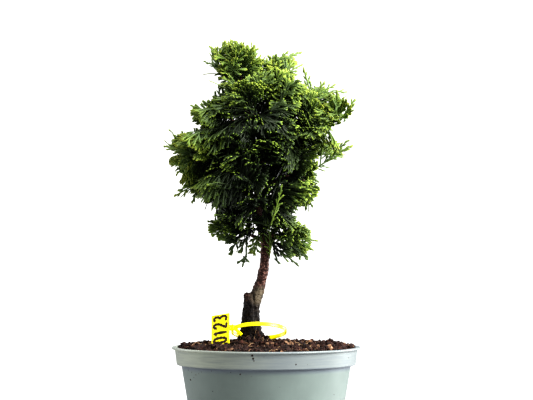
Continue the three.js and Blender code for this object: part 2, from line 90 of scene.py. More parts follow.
# The foliage. A spray is a flat fan: a rib, branchlets on alternate sides, theirs, and the leafy tips.
DROOP = 0.55  # a grown spray bends down by this over its length, in radians
YOUNG_DROOP = 0.14  # and a younger one by this
CUP = 2.4  # and its edges stand this far above its rib
LEAF = 1.9  # from one pair of scale leaves to the next along a twig
LEAF_THICKNESS = 0.8
TWIG_WIDTHS = (1.5, 1.5, 1.6, 1.8)  # rib first, tips last
SPACINGS = (None, 3.3, 3.0, 3.3)  # between twigs on alternate sides of their parent
FIRST_TWIGS = (4.5, 3.2, 2.4)  # how far out on its parent the first one stands
ANGLES = (None, 0.82, 0.55, 0.45)  # at which they leave it, in radians
CURLS = (None, 0.42, 0.28, 0.14)  # and turn forward again along their length
SAG = 0.012  # how much steeper a twig points down with each millimetre
SHORTEST = 2  # twig
SHRINK = 0.88  # what would reach out of the crown is cut to this share of its length until it doesn't
INNER_FANS = 125  # tried for each piece of the inner growth


# ---------------------------------------------------------------- materials
def linear(hex_colour):
    """An sRGB hex colour as the linear one that a shader takes."""
    channels = [int(hex_colour[i:i + 2], 16) / 255 for i in (1, 3, 5)]
    return [c / 12.92 if c <= 0.04045 else ((c + 0.055) / 1.055) ** 2.4 for c in channels] + [1]


def add(tree, kind, inputs=(), stops=(), **settings):
    """Adds a node with its settings, its sockets set or linked, and a ramp's colour stops."""
    node = tree.nodes.new("ShaderNode" + kind)
    for name, value in settings.items():
        setattr(node, name, value)
    for socket, value in dict(inputs).items():
        if isinstance(value, bpy.types.Node):
            value = value.outputs[0]
        if isinstance(value, bpy.types.NodeSocket):
            tree.links.new(value, node.inputs[socket])
        else:
            node.inputs[socket].default_value = value
    for i, (place, colour) in enumerate(stops):
        marks = node.color_ramp.elements
        mark = marks[i] if i < 2 else marks.new(place)
        mark.position, mark.color = place, linear(colour)
    return node


def cleared(owner):
    """Empties the node tree of a material or a world and gives back what adds nodes to it."""
    owner.use_nodes = True
    owner.node_tree.nodes.clear()
    return functools.partial(add, owner.node_tree)


def blank(name):
    """A new material, what adds its nodes, and the place on the bonsai in millimetres."""
    finish = bpy.data.materials.new(name)
    node = cleared(finish)
    place = node("Mapping", {"Vector": node("TexCoord").outputs["Object"], "Scale": (1 / MM,) * 3})
    return finish, node, place


def moulded_polypropylene():
    """Grey-green polypropylene straight from the mould: satin, with dust, dried drips, painted light on the
    band and a painted shadow under it.
    """
    finish, node, place = blank("moulded_polypropylene")
    clouds = node("TexNoise", {"Vector": place, "Scale": 1 / 38, "Detail": 3, "Roughness": 0.6})
    tint = node("ValToRGB", {"Fac": clouds}, [(0.3, "#66706c"), (0.72, "#6f7a75")])
    # Drips run down the wall, 3 mm wide and ten times as long.
    tall = node("Mapping", {"Vector": place, "Scale": (1 / 3, 1 / 3, 1 / 30)})
    drips = node("TexNoise", {"Vector": tall, "Scale": 1, "Detail": 4, "Roughness": 0.65})
    drip_mask = node("ValToRGB", {"Fac": drips}, [(0.55, "#000000"), (0.85, "#606060")])
    dried = node("MixRGB", {"Fac": drip_mask, "Color1": tint, "Color2": linear("#8a928c")})
    # Grit of about 0.4 mm, drawn 0.8 mm so that it shows.
    grit = node("TexVoronoi", {"Vector": place, "Scale": 1 / 5, "Randomness": 1})
    grit_mask = node("ValToRGB", {"Fac": grit}, [(0.06, "#ffffff"), (0.11, "#000000")])
    patches = node("TexNoise", {"Vector": place, "Scale": 1 / 22, "Detail": 2})
    dirty = node("ValToRGB", {"Fac": patches}, [(0.56, "#000000"), (0.66, "#b0b0b0")])
    both = node("MixRGB", {"Fac": 1, "Color1": grit_mask, "Color2": dirty}, blend_type="MULTIPLY")
    soiled = node("MixRGB", {"Fac": both, "Color1": dried, "Color2": linear("#4c4238")})
    gloss = node("MapRange", {"Value": clouds, "To Min": 0.34, "To Max": 0.5})
    fine = node("TexNoise", {"Vector": place, "Scale": 1 / 0.9, "Detail": 3})
    skin = node("Bump", {"Height": fine, "Strength": 0.12, "Distance": 0.06 * MM})
    # The band is painted paler than the wall, in faint level streaks: partly dust from handling and splashed
    # water, partly painted light where the band catches more light.
    level = node("Mapping", {"Vector": place, "Scale": (1 / 25, 1 / 25, 1 / 1.2)})
    streaks = node("TexNoise", {"Vector": level, "Scale": 1, "Detail": 4})
    sides = node("SeparateXYZ", {"Vector": place})
    across, height = sides.outputs["X"], sides.outputs["Z"]
    on_band = node("MapRange", {"Value": height, "From Min": BAND_FOOT - 0.5, "From Max": BAND_FOOT + 1.5})
    film = node("MapRange", {
        "Value": streaks, "From Min": 0.3, "From Max": 0.7, "To Min": 0.5, "To Max": 0.85,
    })
    # Painted light: the pale film is made thickest on the left, so that the band's shaded left side shows
    # lighter.
    painted_light_left = node("MapRange", {
        "Value": across, "From Min": -60, "From Max": 8, "To Min": 1.35, "To Max": 0.45,
    })
    film_with_painted_light_left = node("Math", {0: film, 1: painted_light_left}, operation="MULTIPLY")
    film_and_painted_light_mask = node("Math", {0: on_band, 1: film_with_painted_light_left}, operation="MULTIPLY", use_clamp=True)
    # Painted shadow: right under the band the wall is painted darker and bluer, as shade under the band's
    # overhang.
    under = node("MapRange", {"Value": height, "From Min": BAND_FOOT - 5, "From Max": BAND_FOOT - 1})
    painted_band_shadow = node("MixRGB", {"Fac": under, "Color1": soiled, "Color2": linear("#5f6770")})
    dust_and_painted_light = node("MixRGB", {"Fac": film_and_painted_light_mask, "Color1": painted_band_shadow, "Color2": linear("#9a9f91")})
    surface = node("BsdfPrincipled", {
        "Base Color": dust_and_painted_light, "Roughness": gloss, "IOR": 1.49, "Normal": skin,
        "Subsurface Weight": 0.05, "Subsurface Radius": (1, 1, 1), "Subsurface Scale": 1.5 * MM,
    })
    node("OutputMaterial", {"Surface": surface})
    return finish


def damp_potting_mix(name, dark, warm, pale):
    """Peat and composted bark, damp: matt, near black in its hollows and red-brown where it stands dry."""
    finish, node, place = blank(name)
    lumps = node("TexNoise", {"Vector": place, "Scale": 1 / 4, "Detail": 5, "Roughness": 0.7})
    brown = node("ValToRGB", {"Fac": lumps}, [(0.34, dark), (0.55, warm), (0.74, pale)])
    grain = node("TexNoise", {"Vector": place, "Scale": 1 / 0.7, "Detail": 3})
    skin = node("Bump", {"Height": grain, "Strength": 0.8, "Distance": 0.3 * MM})
    surface = node("BsdfPrincipled", {"Base Color": brown, "Roughness": 0.88, "IOR": 1.45, "Normal": skin})
    node("OutputMaterial", {"Surface": surface})
    return finish


def cypress_bark():
    """Bark in small rough plates: near black and damp at the foot, purple-brown above, with pinkish plate
    edges that are partly dry bark and partly painted highlight.
    """
    finish, node, place = blank("cypress_bark")
    height = node("SeparateXYZ", {"Vector": place}).outputs["Z"]
    rise = node("MapRange", {"Value": height, "From Min": RIM, "From Max": RIM + 130})
    base = node("ValToRGB", {"Fac": rise}, [
        (0.0, "#0c0705"), (0.3, "#150d0a"), (0.46, "#3a241e"), (0.75, "#482c25"), (1.0, "#402620"),
    ])
    # Plates are 2 to 4 mm, wider than they are high.
    tall = node("Mapping", {"Vector": place, "Scale": (1 / 3.2, 1 / 3.2, 1 / 2.2)})
    strips = node("TexNoise", {"Vector": tall, "Scale": 1, "Detail": 5, "Roughness": 0.65, "Distortion": 0.6})
    edge_mask = node("ValToRGB", {"Fac": strips}, [(0.52, "#000000"), (0.62, "#ffffff")])
    # The pinkish plate edges are partly dry flaking bark and partly a painted highlight, laid all round the
    # trunk.
    edge_colour_and_painted_highlight = node("ValToRGB", {"Fac": rise}, [
        (0.0, "#1e140e"), (0.3, "#2e241b"), (0.5, "#8e6a5e"), (1.0, "#946e62"),
    ])
    striped = node("MixRGB", {"Fac": edge_mask, "Color1": base, "Color2": edge_colour_and_painted_highlight})
    # Where the new leader leaves the old one the bark is rubbed to a dry olive grey.
    rubbed_spot = node("VectorMath", {0: place, 1: (-6, -6, 174)}, operation="DISTANCE")
    ragged = node("Math", {0: strips, 1: 9, 2: rubbed_spot.outputs["Value"]}, operation="MULTIPLY_ADD")
    rubbed = node("MapRange", {"Value": ragged, "From Min": 15, "From Max": 9})
    worn = node("MixRGB", {"Fac": strips, "Color1": linear("#231d17"), "Color2": linear("#7c705c")})
    patched = node("MixRGB", {"Fac": rubbed, "Color1": striped, "Color2": worn})
    cracks = node("ValToRGB", {"Fac": strips}, [(0.34, "#000000"), (0.46, "#ffffff")])
    cracked = node("MixRGB", {"Fac": 0.8, "Color1": patched, "Color2": cracks}, blend_type="MULTIPLY")
    fine = node("TexNoise", {"Vector": place, "Scale": 1 / 0.6, "Detail": 4})
    skin = node("Bump", {"Height": fine, "Strength": 0.6, "Distance": 0.25 * MM})
    ridges = node("Bump", {"Height": strips, "Strength": 0.9, "Distance": 0.7 * MM, "Normal": skin})
    surface = node("BsdfPrincipled", {
        "Base Color": cracked, "Roughness": 0.7, "IOR": 1.5, "Specular IOR Level": 0.25, "Normal": ridges,
    })
    node("OutputMaterial", {"Surface": surface})
    return finish


def scale_leaves():
    """Living scale leaves, waxy and yellow-green at this year's tips, with painted light and shade:
    blue-black green deep inside the tree and lighter at its top and sides.
    """
    finish, node, place = blank("scale_leaves")
    growth = node("Attribute", attribute_name="growth")
    parts = node("SeparateColor", {"Color": growth.outputs["Color"]})
    age, tone, painted_light_and_shade = parts.outputs["Red"], parts.outputs["Green"], parts.outputs["Blue"]
    patches = node("TexNoise", {"Vector": place, "Scale": 1 / 14, "Detail": 2})
    swing = node("MapRange", {
        "Value": patches, "From Min": 0.3, "From Max": 0.7, "To Min": -0.1, "To Max": 0.1,
    })
    shift = node("MapRange", {"Value": tone, "To Min": -0.16, "To Max": 0.16})
    moved = node("Math", {0: swing, 1: shift}, operation="ADD")
    # Painted light: where a leaf's painted light is high it is also made younger, so lighter and yellower.
    raised = node("MapRange", {"Value": painted_light_and_shade, "To Min": -0.08, "To Max": 0.2})
    grown = node("Math", {0: age, 1: moved}, operation="ADD")
    youth = node("Math", {0: grown, 1: raised}, operation="ADD", use_clamp=True)
    # Two copies of the leaf colour: a lit one, and a painted-shade one that goes near black at low youth; the
    # painted light and shade value mixes them.
    painted_lit_leaf = node("ValToRGB", {"Fac": youth}, [
        (0.0, "#50643c"), (0.3, "#5e743a"), (0.6, "#6e8236"), (0.8, "#7b8a32"), (1.0, "#8a9037"),
    ])
    inner = node("ValToRGB", {"Fac": youth}, [
        (0.0, "#040803"), (0.42, "#0c1508"), (0.6, "#32491c"), (0.82, "#8fa842"), (1.0, "#b4ca5a"),
    ])
    leaf = node("MixRGB", {"Fac": painted_light_and_shade, "Color1": inner, "Color2": painted_lit_leaf})
    # The joint between two pairs of leaves shows as a darker line across the twig.
    along = node("Math", {0: growth.outputs["Alpha"], 1: math.pi / LEAF}, operation="MULTIPLY")
    wave = node("Math", {0: along}, operation="COSINE")
    joint = node("Math", {0: wave, 1: wave}, operation="MULTIPLY")
    joint_mask = node("MapRange", {"Value": joint, "From Min": 0.8, "From Max": 1, "To Max": 0.45})
    jointed = node("MixRGB", {"Fac": joint_mask, "Color1": leaf, "Color2": linear("#14240c")})
    wax = node("TexNoise", {"Vector": place, "Scale": 1 / 1.2, "Detail": 2})
    skin = node("Bump", {"Height": wax, "Strength": 0.3, "Distance": 0.15 * MM})
    surface = node("BsdfPrincipled", {
        "Base Color": jointed, "Roughness": 0.5, "IOR": 1.42, "Specular IOR Level": 0.4, "Normal": skin,
    })
    node("OutputMaterial", {"Surface": surface})
    return finish


def moulded_polyethylene():
    """Fluorescent-looking yellow polyethylene, satin; a faint yellow glow is painted light that makes it give
    back more yellow than falls on it.
    """
    finish, node, place = blank("moulded_polyethylene")
    clouds = node("TexNoise", {"Vector": place, "Scale": 1 / 7, "Detail": 3})
    yellow = node("ValToRGB", {"Fac": clouds}, [(0.3, "#f4ea00"), (0.7, "#fff81a")])
    dust = node("TexNoise", {"Vector": place, "Scale": 1 / 1.5, "Detail": 4, "Roughness": 0.7})
    dust_mask = node("ValToRGB", {"Fac": dust}, [(0.62, "#000000"), (0.85, "#808080")])
    dusty = node("MixRGB", {"Fac": dust_mask, "Color1": yellow, "Color2": linear("#b99b2a")})
    gloss = node("MapRange", {"Value": clouds, "To Min": 0.3, "To Max": 0.45})
    skin = node("Bump", {"Height": dust, "Strength": 0.1, "Distance": 0.05 * MM})
    # The emission is painted light: the plastic glows faintly yellow though it is no lamp.
    surface = node("BsdfPrincipled", {
        "Base Color": dusty, "Roughness": gloss, "IOR": 1.51, "Normal": skin,
        "Subsurface Weight": 0.25, "Subsurface Radius": (1, 0.8, 0.2), "Subsurface Scale": 1.2 * MM,
        "Emission Color": linear("#fff000"), "Emission Strength": 0.3,
    })
    node("OutputMaterial", {"Surface": surface})
    return finish


def marker_ink():
    """Waterproof marker ink, dried dark brown, thicker where the pen rested."""
    finish, node, place = blank("marker_ink")
    flow = node("TexNoise", {"Vector": place, "Scale": 1 / 1.2, "Detail": 3})
    brown = node("ValToRGB", {"Fac": flow}, [(0.35, "#2a1206"), (0.7, "#4a2a10")])
    surface = node("BsdfPrincipled", {"Base Color": brown, "Roughness": 0.5, "IOR": 1.45})
    node("OutputMaterial", {"Surface": surface})
    return finish


def painted_floor():
    """A pale painted board, matt, with the faint mottle of a roller."""
    finish, node, place = blank("painted_floor")
    mottle = node("TexNoise", {"Vector": place, "Scale": 1 / 25, "Detail": 4})
    pale = node("ValToRGB", {"Fac": mottle}, [(0.3, "#949491"), (0.7, "#9c9c99")])
    surface = node("BsdfPrincipled", {"Base Color": pale, "Roughness": 0.8})
    node("OutputMaterial", {"Surface": surface})
    return finish


# ---------------------------------------------------------------- numbers and meshes
def clamped(value, low=0.0, high=1.0):
    return max(low, min(high, value))


def turns(count):
    """The angles of equal steps all the way round."""
    return [math.tau * k / count for k in range(count)]


def polar(r, turn):
    return r * math.cos(turn), r * math.sin(turn)


def wander(draw, spread):
    """A small step in any direction."""
    return Vector([draw.gauss(0, spread) for _ in range(3)])


def ring_faces(first, rings, count, turned_over=False):
    """The faces between rings of corners that were laid one after the other, each ring closed on itself."""
    faces = []
    for near in range(first, first + (rings - 1) * count, count):
        for k in range(count):
            after = (k + 1) % count
            a, b, c, d = near + k, near + after, near + count + after, near + count + k
            faces.append((a, d, c, b) if turned_over else (a, b, c, d))
    return faces


def new_object(name, mesh):
    made = bpy.data.objects.new(name, mesh)
    bpy.context.scene.collection.objects.link(made)
    return made


def new_piece(name, mesh, finish, nodes=(), smooth=True):
    """Adds a piece of the bonsai with its material; where nodes are named it stands for them."""
    made = new_object(name, mesh)
    mesh.materials.clear()
    mesh.materials.append(finish)
    mesh.polygons.foreach_set("use_smooth", [smooth] * len(mesh.polygons))
    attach(made, "root")
    if nodes:
        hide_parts(*nodes)


def mesh_of(name, places, faces):
    """A mesh from corners in millimetres."""
    mesh = bpy.data.meshes.new(name)
    mesh.from_pydata([Vector(p) * MM for p in places], [], faces)
    mesh.validate()
    return mesh


def as_modified(source, *modifiers):
    """The mesh that a solid has after some modifiers, each a kind and its settings."""
    helper = new_object("helper", source)
    for kind, settings in modifiers:
        modifier = helper.modifiers.new(kind.lower(), kind)
        for name, value in settings.items():
            setattr(modifier, name, value)
    graph = bpy.context.evaluated_depsgraph_get()
    mesh = bpy.data.meshes.new_from_object(helper.evaluated_get(graph))
    bpy.data.objects.remove(helper)
    return mesh


def shaped(name, work):
    """The mesh of a finished bmesh."""
    mesh = bpy.data.meshes.new(name)
    work.to_mesh(mesh)
    work.free()
    return mesh


def weld(mesh):
    """Joins the corners of a mesh that lie on each other, so that no face is left without area."""
    joined = bmesh.new()
    joined.from_mesh(mesh)
    bmesh.ops.remove_doubles(joined, verts=joined.verts, dist=0.001 * MM)
    joined.to_mesh(mesh)
    joined.free()
    return mesh


def turned(name, profile, segments):
    """A closed profile of (radius, height) corners turned about the pot's axis."""
    places = [(*polar(r, turn), z) for turn in turns(segments) for r, z in profile]
    faces, count = [], len(profile)
    for i in range(segments):
        here, there = i * count, (i + 1) % segments * count
        faces += [(here + k, there + k, there + k + 1, here + k + 1) for k in range(count - 1)]
    return weld(mesh_of(name, places, faces))


def rounded(corners):
    """A profile whose corners are (radius, height, rounding)."""
    line, steps = [], 4
    for i, (r, z, soft) in enumerate(corners):
        here = Vector((r, z))
        if not soft:
            line.append(tuple(here))
            continue
        to_last = (Vector(corners[i - 1][:2]) - here).normalized() * soft
        to_next = (Vector(corners[(i + 1) % len(corners)][:2]) - here).normalized() * soft
        for k in range(steps + 1):
            u = k / steps
            line.append(tuple(here + to_last * (1 - u) ** 2 + to_next * u ** 2))
    return line


def tangent_at(line, i):
    """The direction of a line of points at one of them."""
    return (line[min(i + 1, len(line) - 1)] - line[max(i - 1, 0)]).normalized()


def tube(places, faces, line, radii, sides, flat=1.0, up=Vector((0, 0, 1))):
    """Adds a closed round tube along a line, flattened towards up where flat is under one."""
    first = len(places)
    for i, point in enumerate(line):
        tangent = tangent_at(line, i)
        side = tangent.cross(up)
        side = side.normalized() if side.length > 1e-3 else tangent.orthogonal().normalized()
        rise = side.cross(tangent)
        for turn in turns(sides):
            offset = side * math.cos(turn) + rise * (flat * math.sin(turn))
            places.append(point + offset * radii[i])
    faces += ring_faces(first, len(line), sides)
    faces.append([first + k for k in reversed(range(sides))])
    faces.append([len(places) - sides + k for k in range(sides)])


# ---------------------------------------------------------------- camera, light and floor
def set_camera():
    """Level, in front of the tree: at the trunk the render's 533 columns are 0.9 mm each."""
    distance, columns, column, eye_height = 2.3, 533, 0.9 * MM, 0.26
    camera = bpy.data.cameras.new("camera")
    camera.sensor_width = 36
    camera.lens = camera.sensor_width * distance / (columns * column)
    made = new_object("camera", camera)
    made.location = (0.3 * MM, -distance, eye_height)
    made.rotation_euler = (math.pi / 2, 0, 0)
    bpy.context.scene.camera = made


def softbox(name, place, aim, size, watts):
    """A square area light."""
    light = bpy.data.lights.new(name, "AREA")
    light.size, light.energy = size, watts
    made = new_object(name, light)
    made.location = place
    made.rotation_euler = (Vector(aim) - Vector(place)).to_track_quat("-Z", "Y").to_euler()
    made.visible_camera = False


def set_lights():
    """A large softbox high on the right, a weak one below it, one overhead, and two behind for the edges."""
    crown = (0, 0, 0.28)
    softbox("key_softbox", (1.4, -0.85, 1.05), crown, 0.9, 60)
    softbox("overhead_softbox", (0.15, -0.3, 2.0), crown, 1.0, 44)
    softbox("front_softbox", (1.5, -1.05, 0.5), crown, 0.9, 9.5)
    softbox("right_edge_softbox", (1.75, 0.75, 0.25), (0, 0, 0.1), 0.8, 34)
    softbox("left_edge_softbox", (-1.8, 0.6, 0.3), (0, 0, 0.12), 0.7, 13)
    world = bpy.data.worlds.new("white_paper")
    bpy.context.scene.world = world
    node = cleared(world)
    # The paper round the tree shows white and gives only a little light of its own.
    shown = node("Background", {"Color": linear("#ffffff"), "Strength": 1.05})
    given = node("Background", {"Color": linear("#f4f7ff"), "Strength": 0.48})
    seen = node("LightPath").outputs["Is Camera Ray"]
    both = node("MixShader", {0: seen, 1: given, 2: shown})
    node("OutputWorld", {"Surface": both})
    bpy.context.scene.view_settings.view_transform = "Standard"
    bpy.context.scene.view_settings.look = "High Contrast"


def lay_floor():
    """A round board under the pot, a hair below it."""
    board = bmesh.new()
    bmesh.ops.create_circle(board, cap_ends=True, segments=96, radius=0.5)
    floor = new_object("floor", shaped("floor", board))
    floor.data.materials.append(painted_floor())
    floor.location.z = -0.1 * MM


# ---------------------------------------------------------------- pot
def make_pot(finish):
    """The turned pot: tapered wall, stepped band and thin flange, all with moulded, rounded edges."""
    lip, wall = RIM - BAND["flange"], POT_WALL
    profile = rounded([
        (0, STAND["recess"], 0), (STAND["radius"] - 1, STAND["recess"], 0), (STAND["radius"], 0, 0.3),
        (BASE_RADIUS, 0, 1.4), (WALL_TOP_RADIUS, BAND_FOOT, 0.5), (BAND["foot"], BAND_FOOT, 1.1),
        (BAND["top"], lip, 0.5), (RIM_RADIUS, lip, 0.7), (RIM_RADIUS, RIM, 0.7),
        (BAND["top"] - wall, RIM, 0.6),
        (BAND["foot"] - wall, BAND_FOOT + wall, 0.4), (WALL_TOP_RADIUS - wall, BAND_FOOT + wall, 0.4),
        (BASE_RADIUS - wall, wall, 1), (0, wall, 0),
    ])
    places, faces = [], []
    through = Vector((0, 0, DRAIN_HOLES["reach"]))
    for turn in turns(DRAIN_HOLES["count"]):
        middle = Vector((math.cos(turn), math.sin(turn), 0)) * DRAIN_HOLES["ring"]
        tube(places, faces, [middle - through, middle + through], [DRAIN_HOLES["radius"]] * 2, 24)
    cutter = new_object("drill", mesh_of("drill", places, faces))
    drill_out = ("BOOLEAN", {"object": cutter, "solver": "EXACT"})
    mesh = weld(as_modified(turned("pot_wall", profile, 144), drill_out))
    bpy.data.objects.remove(cutter)
    new_piece("nursery_pot", mesh, finish, ["pot"])
    mesh.set_sharp_from_angle(angle=0.7)


def add_lump(crumbs, placed, size, detail, pace, depth, start=0):
    """Adds a crumb: a ball of 1 mm, placed and stretched, whose skin wanders by a share of its size."""
    made = bmesh.ops.create_icosphere(crumbs, subdivisions=detail, radius=0.5 * MM, matrix=placed)
    for v in made["verts"]:
        v.co += noise.noise_vector(v.co / MM * pace + Vector((start, 0, 0))) * depth * size * MM


# Crumbs of wet mix dried on the pot's front: how far right of the middle, how high, and the size.
SPLASHES = [
    (-12, 125.2, 2.4), (-11.3, 122.6, 2.1), (-10.6, 120.6, 1.3), (-1.9, 123.7, 1.2), (-22.7, 108.1, 1.3),
    (-67, 100.5, 2.0), (-69, 109, 0.9), (-64, 103, 0.7), (-57, 108.5, 0.8), (-48, 110, 0.7), (26, 117, 1.6),
    (-66, 107.5, 1.0), (-62, 105.5, 1.2), (-59.5, 107, 0.8), (-31, 109.5, 0.8), (73, 120.5, 1.0),
    (-33, 119, 0.7), (36, 116.5, 0.6), (60, 88, 0.8), (-47, 92, 0.8), (12, 97, 0.6),
]


def pot_radius(z):
    """The radius of the pot's outside at a height."""
    if z > BAND_FOOT:
        return BAND["foot"] + (BAND["top"] - BAND["foot"]) * ((z - RIM + BAND["height"]) / BAND["height"])
    return BASE_RADIUS + (WALL_TOP_RADIUS - BASE_RADIUS) * (z / BAND_FOOT)


def splash_pot(finish):
    """The dried crumbs, each flat against the pot's outside."""
    draw = random.Random(5)
    crumbs = bmesh.new()
    for x, z, size in SPLASHES:
        y = -math.sqrt(pot_radius(z) ** 2 - x ** 2)
        outward = Vector((x, y, 0)).normalized().to_track_quat("Z", "Y").to_matrix().to_4x4()
        place = Matrix.Translation(Vector((x, y, z)) * MM) @ outward
        shape = Matrix.Diagonal((size * draw.uniform(0.6, 1), size * draw.uniform(0.8, 1.5), 0.3 * size, 1))
        add_lump(crumbs, place @ shape, size, detail=2, pace=1.7, depth=0.18)
    new_piece("dried_splashes", shaped("dried_splashes", crumbs), finish)


# ---------------------------------------------------------------- potting mix
def soil_height(x, y):
    """How high the mix lies above the rim at a place."""
    r = math.hypot(x, y) / BAND["top"]
    foot = math.hypot(x - SOIL["foot_x"], y)
    crumbs = sum(math.sin(a * x + b * y + start) for a, b, start in CRUMB_WAVES)
    heap = SOIL["heap"] * math.exp(-(foot / SOIL["heap_width"]) ** 2)
    return -SOIL["edge_drop"] + SOIL["mound"] * (1 - r * r) + heap + SOIL["relief"] * crumbs * (1.05 - r)


def make_soil(finish):
    """The body of the mix, its top broken into lumps of 2 to 8 mm."""
    rings, segments = 56, 168
    inner = POT_WALL + 0.3
    places = [(0, 0, RIM + soil_height(0, 0))]
    for i in range(1, rings + 1):
        r = SOIL["edge"] * i / rings
        calm = min(1, (SOIL["edge"] - r) / 4 + 0.25)  # the lumps are lower against the pot
        for turn in turns(segments):
            x, y = polar(r, turn)
            lumps = noise.fractal(Vector((x, y, 3)) * 0.16, 0.9, 2.1, 5)
            grit = noise.noise(Vector((x, y, 9)) * 0.6)
            places.append((x, y, RIM + soil_height(x, y) + calm * (1.7 * lumps + 0.6 * grit)))
    wall = [(BAND["top"] - inner - 0.6, RIM - 4), (BAND["foot"] - inner, BAND_FOOT + inner),
            (WALL_TOP_RADIUS - inner, BAND_FOOT + inner), (BASE_RADIUS - inner, inner)]
    places += [(*polar(r, turn), z) for r, z in wall for turn in turns(segments)]
    faces = [(0, 1 + k, 1 + (k + 1) % segments) for k in range(segments)]
    faces += ring_faces(1, rings + len(wall), segments, turned_over=True)
    faces.append([len(places) - segments + k for k in reversed(range(segments))])
    new_piece("potting_mix", mesh_of("potting_mix", places, faces), finish, ["soil"])


def mound_height(r):
    """How high the heap on the trunk's foot stands above the mix, by the distance from the trunk's middle."""
    return MOUND["height"] * clamped((MOUND["outer"] - r) / (MOUND["outer"] - MOUND["inner"])) ** 1.4


def make_mound(finish):
    """The heap itself, a lumpy cone that runs out on the mix all round the trunk."""
    rings, segments = 14, 60
    places = []
    for i in range(rings):
        r = MOUND["inner"] - 2 + (MOUND["outer"] + 2 - MOUND["inner"]) * i / (rings - 1)
        sunk = -1.5 if i == rings - 1 else 0  # the last ring is pressed into the mix
        for turn in turns(segments):
            lumps = noise.noise(Vector((math.cos(turn), math.sin(turn), 2)) * r * 0.5)
            out = r + 0.7 * lumps
            x, y = SOIL["foot_x"] + out * math.cos(turn), out * math.sin(turn)
            places.append((x, y, RIM + soil_height(x, y) + mound_height(r) + 0.9 * lumps + sunk))
    faces = ring_faces(0, rings, segments, turned_over=True)
    new_piece("foot_mound", mesh_of("foot_mound", places, faces), finish)


def scatter_crumbs(name, finish, draw, count, sizes, shape, nearest, furthest, middle=(0, 0), heap=None):
    """Loose crumbs on the mix, from nearest to furthest round a middle; heap says how high they lie."""
    crumbs = bmesh.new()
    for i in range(count):
        turn = draw.uniform(0, math.tau)
        r = math.sqrt(draw.uniform(nearest ** 2, furthest ** 2))
        x, y = middle[0] + r * math.cos(turn), middle[1] + r * math.sin(turn)
        size = sizes[0] + (sizes[1] - sizes[0]) * draw.random() ** 2
        lie = Matrix.Rotation(draw.uniform(0, 6.3), 4, "Z") @ Matrix.Rotation(draw.uniform(-0.8, 0.8), 4, "X")
        lie = lie @ Matrix.Rotation(draw.uniform(-0.8, 0.8), 4, "Y")
        height = RIM + soil_height(x, y) + (heap(r) if heap else 0)
        place = Matrix.Translation(Vector((x, y, height + 0.3 * size * shape[2] + 0.3)) * MM)
        spread = Matrix.Diagonal((*[side * size * draw.uniform(0.75, 1.3) for side in shape], 1))
        detail = 2 if size > 3 else 1
        add_lump(crumbs, place @ lie @ spread, size, detail, pace=2 / size, depth=0.36, start=i)
    new_piece(name, shaped(name, crumbs), finish, smooth=False)


def lay_fibres(finish):
    """Thin peat fibres, the last of them on the trunk's foot, and a root thread that arches on the left."""
    draw = random.Random(21)
    places, faces = [], []
    joints = FIBRES["joints"]
    for i in range(FIBRES["count"]):
        turn, r = draw.uniform(0, 6.3), FIBRES["reach"] * math.sqrt(draw.random())
        x, y = polar(r, turn)
        heading, length = draw.uniform(0, 6.3), draw.uniform(4, 12)
        if i >= FIBRES["count"] - FIBRES["on_foot"]:
            x, y, length = SOIL["foot_x"] + r / 6 * math.cos(turn), r / 6 * math.sin(turn), 0.6 * length
        line = []
        for k in range(joints + 1):
            lift = 0.9 + 1.6 * math.sin(math.pi * k / joints) * draw.random()
            lift += mound_height(math.hypot(x - SOIL["foot_x"], y))
            line.append(Vector((x, y, RIM + soil_height(x, y) + lift)))
            heading += draw.uniform(-0.5, 0.5)
            x, y = x + length / joints * math.cos(heading), y + length / joints * math.sin(heading)
            if math.hypot(x, y) > FIBRES["last"]:
                break
        if len(line) > 2:
            tube(places, faces, line, [FIBRES["radius"]] * len(line), 4)
    arch = [Vector((-68 + 12 * k / 10, -24, RIM - 0.6 + 5.6 * math.sin(math.pi * k / 10) ** 0.8))
            for k in range(11)]
    tube(places, faces, arch, [0.3] * len(arch), 5)
    new_piece("peat_fibres", mesh_of("peat_fibres", places, faces), finish)


# ---------------------------------------------------------------- trunk and limbs
def bark_relief(p):
    """How far the bark stands out at a place: cracked plates, flakes, and swellings of the wood."""
    low = clamped((185 - p.z) / 40)  # the bark is coarsest at the foot
    thin = clamped((300 - p.z) / 80, 0.25)  # and thins out up in the crown
    near = noise.voronoi(Vector((p.x * 0.34, p.y * 0.34, p.z * 0.24)))[0]
    plates = min(1.0, 2.4 * (near[1] - near[0])) - 0.5
    flakes = noise.fractal(Vector((p.x * 0.5, p.y * 0.5, p.z * 0.4 + 7)), 0.8, 2.2, 4)
    swellings = noise.noise(Vector((p.x, p.y, p.z)) * 0.13)
    knobs = low * noise.noise(Vector((p.x, p.y, p.z * 0.8)) * 0.34)
    # A fissure runs down the front between the old leader's stump and the new one.
    aside = p.x - FISSURE["top"][0] - (FISSURE["top"][1] - p.z) * FISSURE["lean"]
    inside = p.y < 0 and FISSURE["foot"] < p.z < FISSURE["top"][1]
    crack = FISSURE["depth"] * math.exp(-(aside / FISSURE["width"]) ** 2) if inside else 0
    rough = (0.5 + 0.4 * low) * plates + (0.3 + 0.45 * low) * flakes + 0.6 * swellings + 0.9 * knobs
    return thin * rough + 0.4 - crack


def make_wood(finish):
    """The trunk, its stump and its limbs, with soft joints and barked all over."""
    remeshed = ("REMESH", {"mode": "VOXEL", "voxel_size": 0.7 * MM})
    softened = ("SMOOTH", {"factor": 0.5, "iterations": 9})
    mesh = as_modified(frame["nodes"]["trunk"].data.copy(), remeshed, softened)
    mesh.update()
    barked = [v.co + v.normal * bark_relief(v.co / MM) * MM for v in mesh.vertices]
    for v, place in zip(mesh.vertices, barked):
        v.co = place
    new_piece("barked_wood", mesh, finish, ["trunk"])


